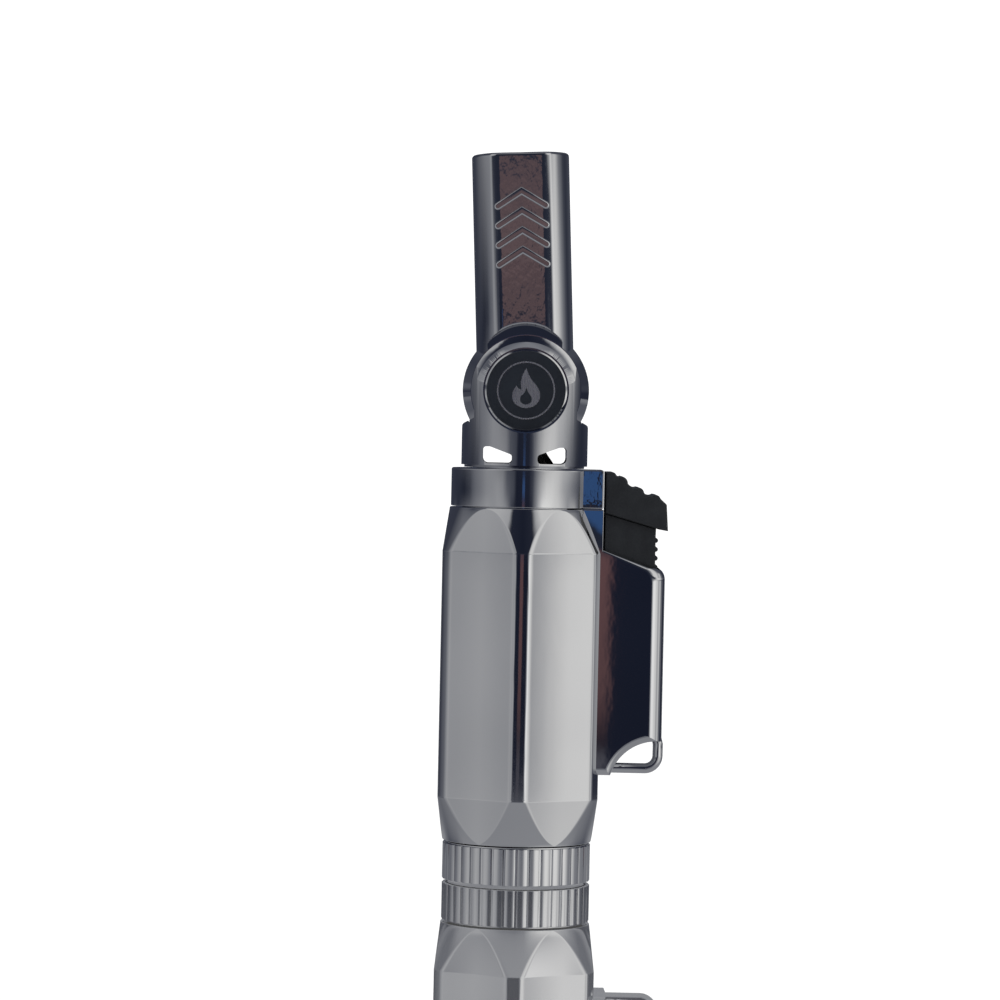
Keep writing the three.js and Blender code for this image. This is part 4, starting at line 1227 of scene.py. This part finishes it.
# ---------------------------------------------------------------- studio


def place_camera():
    """The photograph's viewing angle: level with the pivot, a little to the left, slightly rolled."""
    data = bpy.data.cameras.new("camera")
    data.lens = CAMERA["lens"]
    data.sensor_width = CAMERA["sensor"]
    data.clip_start, data.clip_end = 0.01, 20
    camera = bpy.data.objects.new("camera", data)
    turn = Matrix.Rotation(math.radians(90 + CAMERA["pitch"]), 4, "X")
    roll = Matrix.Rotation(math.radians(CAMERA["roll"]), 4, "Z")
    camera.matrix_world = Matrix.Translation(Vector(CAMERA["place"]) * MM) @ turn @ roll
    bpy.context.scene.collection.objects.link(camera)
    bpy.context.scene.camera = camera


def seen_as(red, green, blue):
    """Radiance that the plated metal shows as a screen colour from 0 to 255."""
    return tuple(c / share for c, share in zip(linear(red, green, blue), PLATE))


def cool(level):
    """Radiance of a screen grey; the darker, the bluer."""
    shade = 15 * max(0.0, 1 - level / 190)
    return seen_as(level - 0.3 * shade, level, level + shade)


def degrees_share(tree, angle, reach):
    """Maps an angle in radians from -reach to reach, in degrees, onto 0 to 1."""
    return math_node(tree, "MULTIPLY_ADD", angle, 90 / (math.pi * reach), 0.5)


def shares(stops, reach):
    """The same mapping, for the places of a colour ramp's stops."""
    return [(degrees / (2 * reach) + 0.5, value) for degrees, value in stops]


def room_light(tree, azimuth, elevation):
    """The rows of the room, one colour ramp each, blended by height."""
    around, height = degrees_share(tree, azimuth, 180), degrees_share(tree, elevation, 90)
    above, lit = None, None
    for (top, bottom), levels in ROOM:
        row = ramp(tree, around, [(place, cool(level)) for place, level in shares(levels, 180)])
        if lit is not None:
            span = {"Value": height, "From Min": above / 180 + 0.5, "From Max": top / 180 + 0.5}
            row = mix(tree, add(tree, "MapRange", span).outputs["Result"], lit, row)
        above, lit = bottom, row
    return lit


def patch_light(tree, azimuth, elevation, lit):
    """Lays the brown and blue patch over the room."""
    across_patch = degrees_share(tree, azimuth, PATCH_REACH)
    up_patch = degrees_share(tree, elevation, PATCH_REACH)
    colours = [(degrees, seen_as(*colour)) for degrees, colour in PATCH]
    patch = ramp(tree, up_patch, shares(colours, PATCH_REACH))
    wide = ramp(tree, across_patch, shares(PATCH_WIDTH, PATCH_REACH))
    high = ramp(tree, up_patch, shares(PATCH_HEIGHT, PATCH_REACH))
    return mix(tree, math_node(tree, "MULTIPLY", wide, high), lit, patch)


def studio_world():
    """An invented room, light at both sides and dark in front and behind, and a plain white backdrop.

    The torch's surfaces see the room. The camera and the mirror-like floor see the backdrop.
    """
    world = bpy.data.worlds.new("studio")
    bpy.context.scene.world = world
    world.use_nodes = True
    tree = world.node_tree
    tree.nodes.clear()
    place = tree.nodes.new("ShaderNodeTexCoord").outputs["Generated"]
    x, y, z = add(tree, "SeparateXYZ", {"Vector": place}).outputs
    azimuth = math_node(tree, "ARCTAN2", x, math_node(tree, "MULTIPLY", y, -1.0))
    elevation = math_node(tree, "ARCSINE", z)
    lit = patch_light(tree, azimuth, elevation, room_light(tree, azimuth, elevation))
    paths = tree.nodes.new("ShaderNodeLightPath").outputs
    seen = math_node(tree, "MAXIMUM", paths["Is Camera Ray"], paths["Is Singular Ray"])
    background = add(tree, "Background", {"Color": mix(tree, seen, lit, (BACKDROP, BACKDROP, BACKDROP, 1))})
    output = tree.nodes.new("ShaderNodeOutputWorld")
    tree.links.new(background.outputs[0], output.inputs[0])


def studio_floor():
    """A white, mirror-like board, 8 metres square. The torch's metal does not mirror it."""
    size = 4000.0
    corners = [(-size, -size, 0), (size, -size, 0), (size, size, 0), (-size, size, 0)]
    floor = new_object("floor", corners, [(0, 1, 2, 3)])
    floor.data.transform(Matrix.Scale(MM, 4))
    material, tree, shader, place = new_material("white_board", Roughness=0.0, Metallic=0.85)
    tint(tree, shader, noise(tree, place, 0.8, 1), (0.89, 0.89, 0.89), (0.91, 0.91, 0.91))
    floor.data.materials.append(material)
    floor.visible_glossy = False


def overhead_light():
    """A broad soft light over the torch, which the metal does not mirror."""
    data = bpy.data.lights.new("overhead", "AREA")
    data.shape = "RECTANGLE"
    data.size = data.size_y = 2.4
    data.energy = 28
    lamp = bpy.data.objects.new("overhead", data)
    lamp.location = (0, 0.1, 1.5)
    lamp.rotation_euler = (-lamp.location).to_track_quat("-Z", "Y").to_euler()
    lamp.visible_camera = False
    lamp.visible_glossy = False
    bpy.context.scene.collection.objects.link(lamp)


def studio():
    """World, floor, light and view, but for the camera."""
    studio_world()
    studio_floor()
    overhead_light()
    bpy.context.scene.view_settings.view_transform = "Standard"


# ---------------------------------------------------------------- the whole torch

place_camera()
paint_carried_nodes()
foot_piece()
adjuster_piece()
shell_piece()
loop_piece()
collar_piece()
fork_piece()
badge_piece("front", -1)
badge_piece("rear", 1)
nozzle_piece()
liner_piece()
burner_piece()
flame_holder_piece()
electrode_pieces()
trigger_pieces()
hose_pieces()
studio()
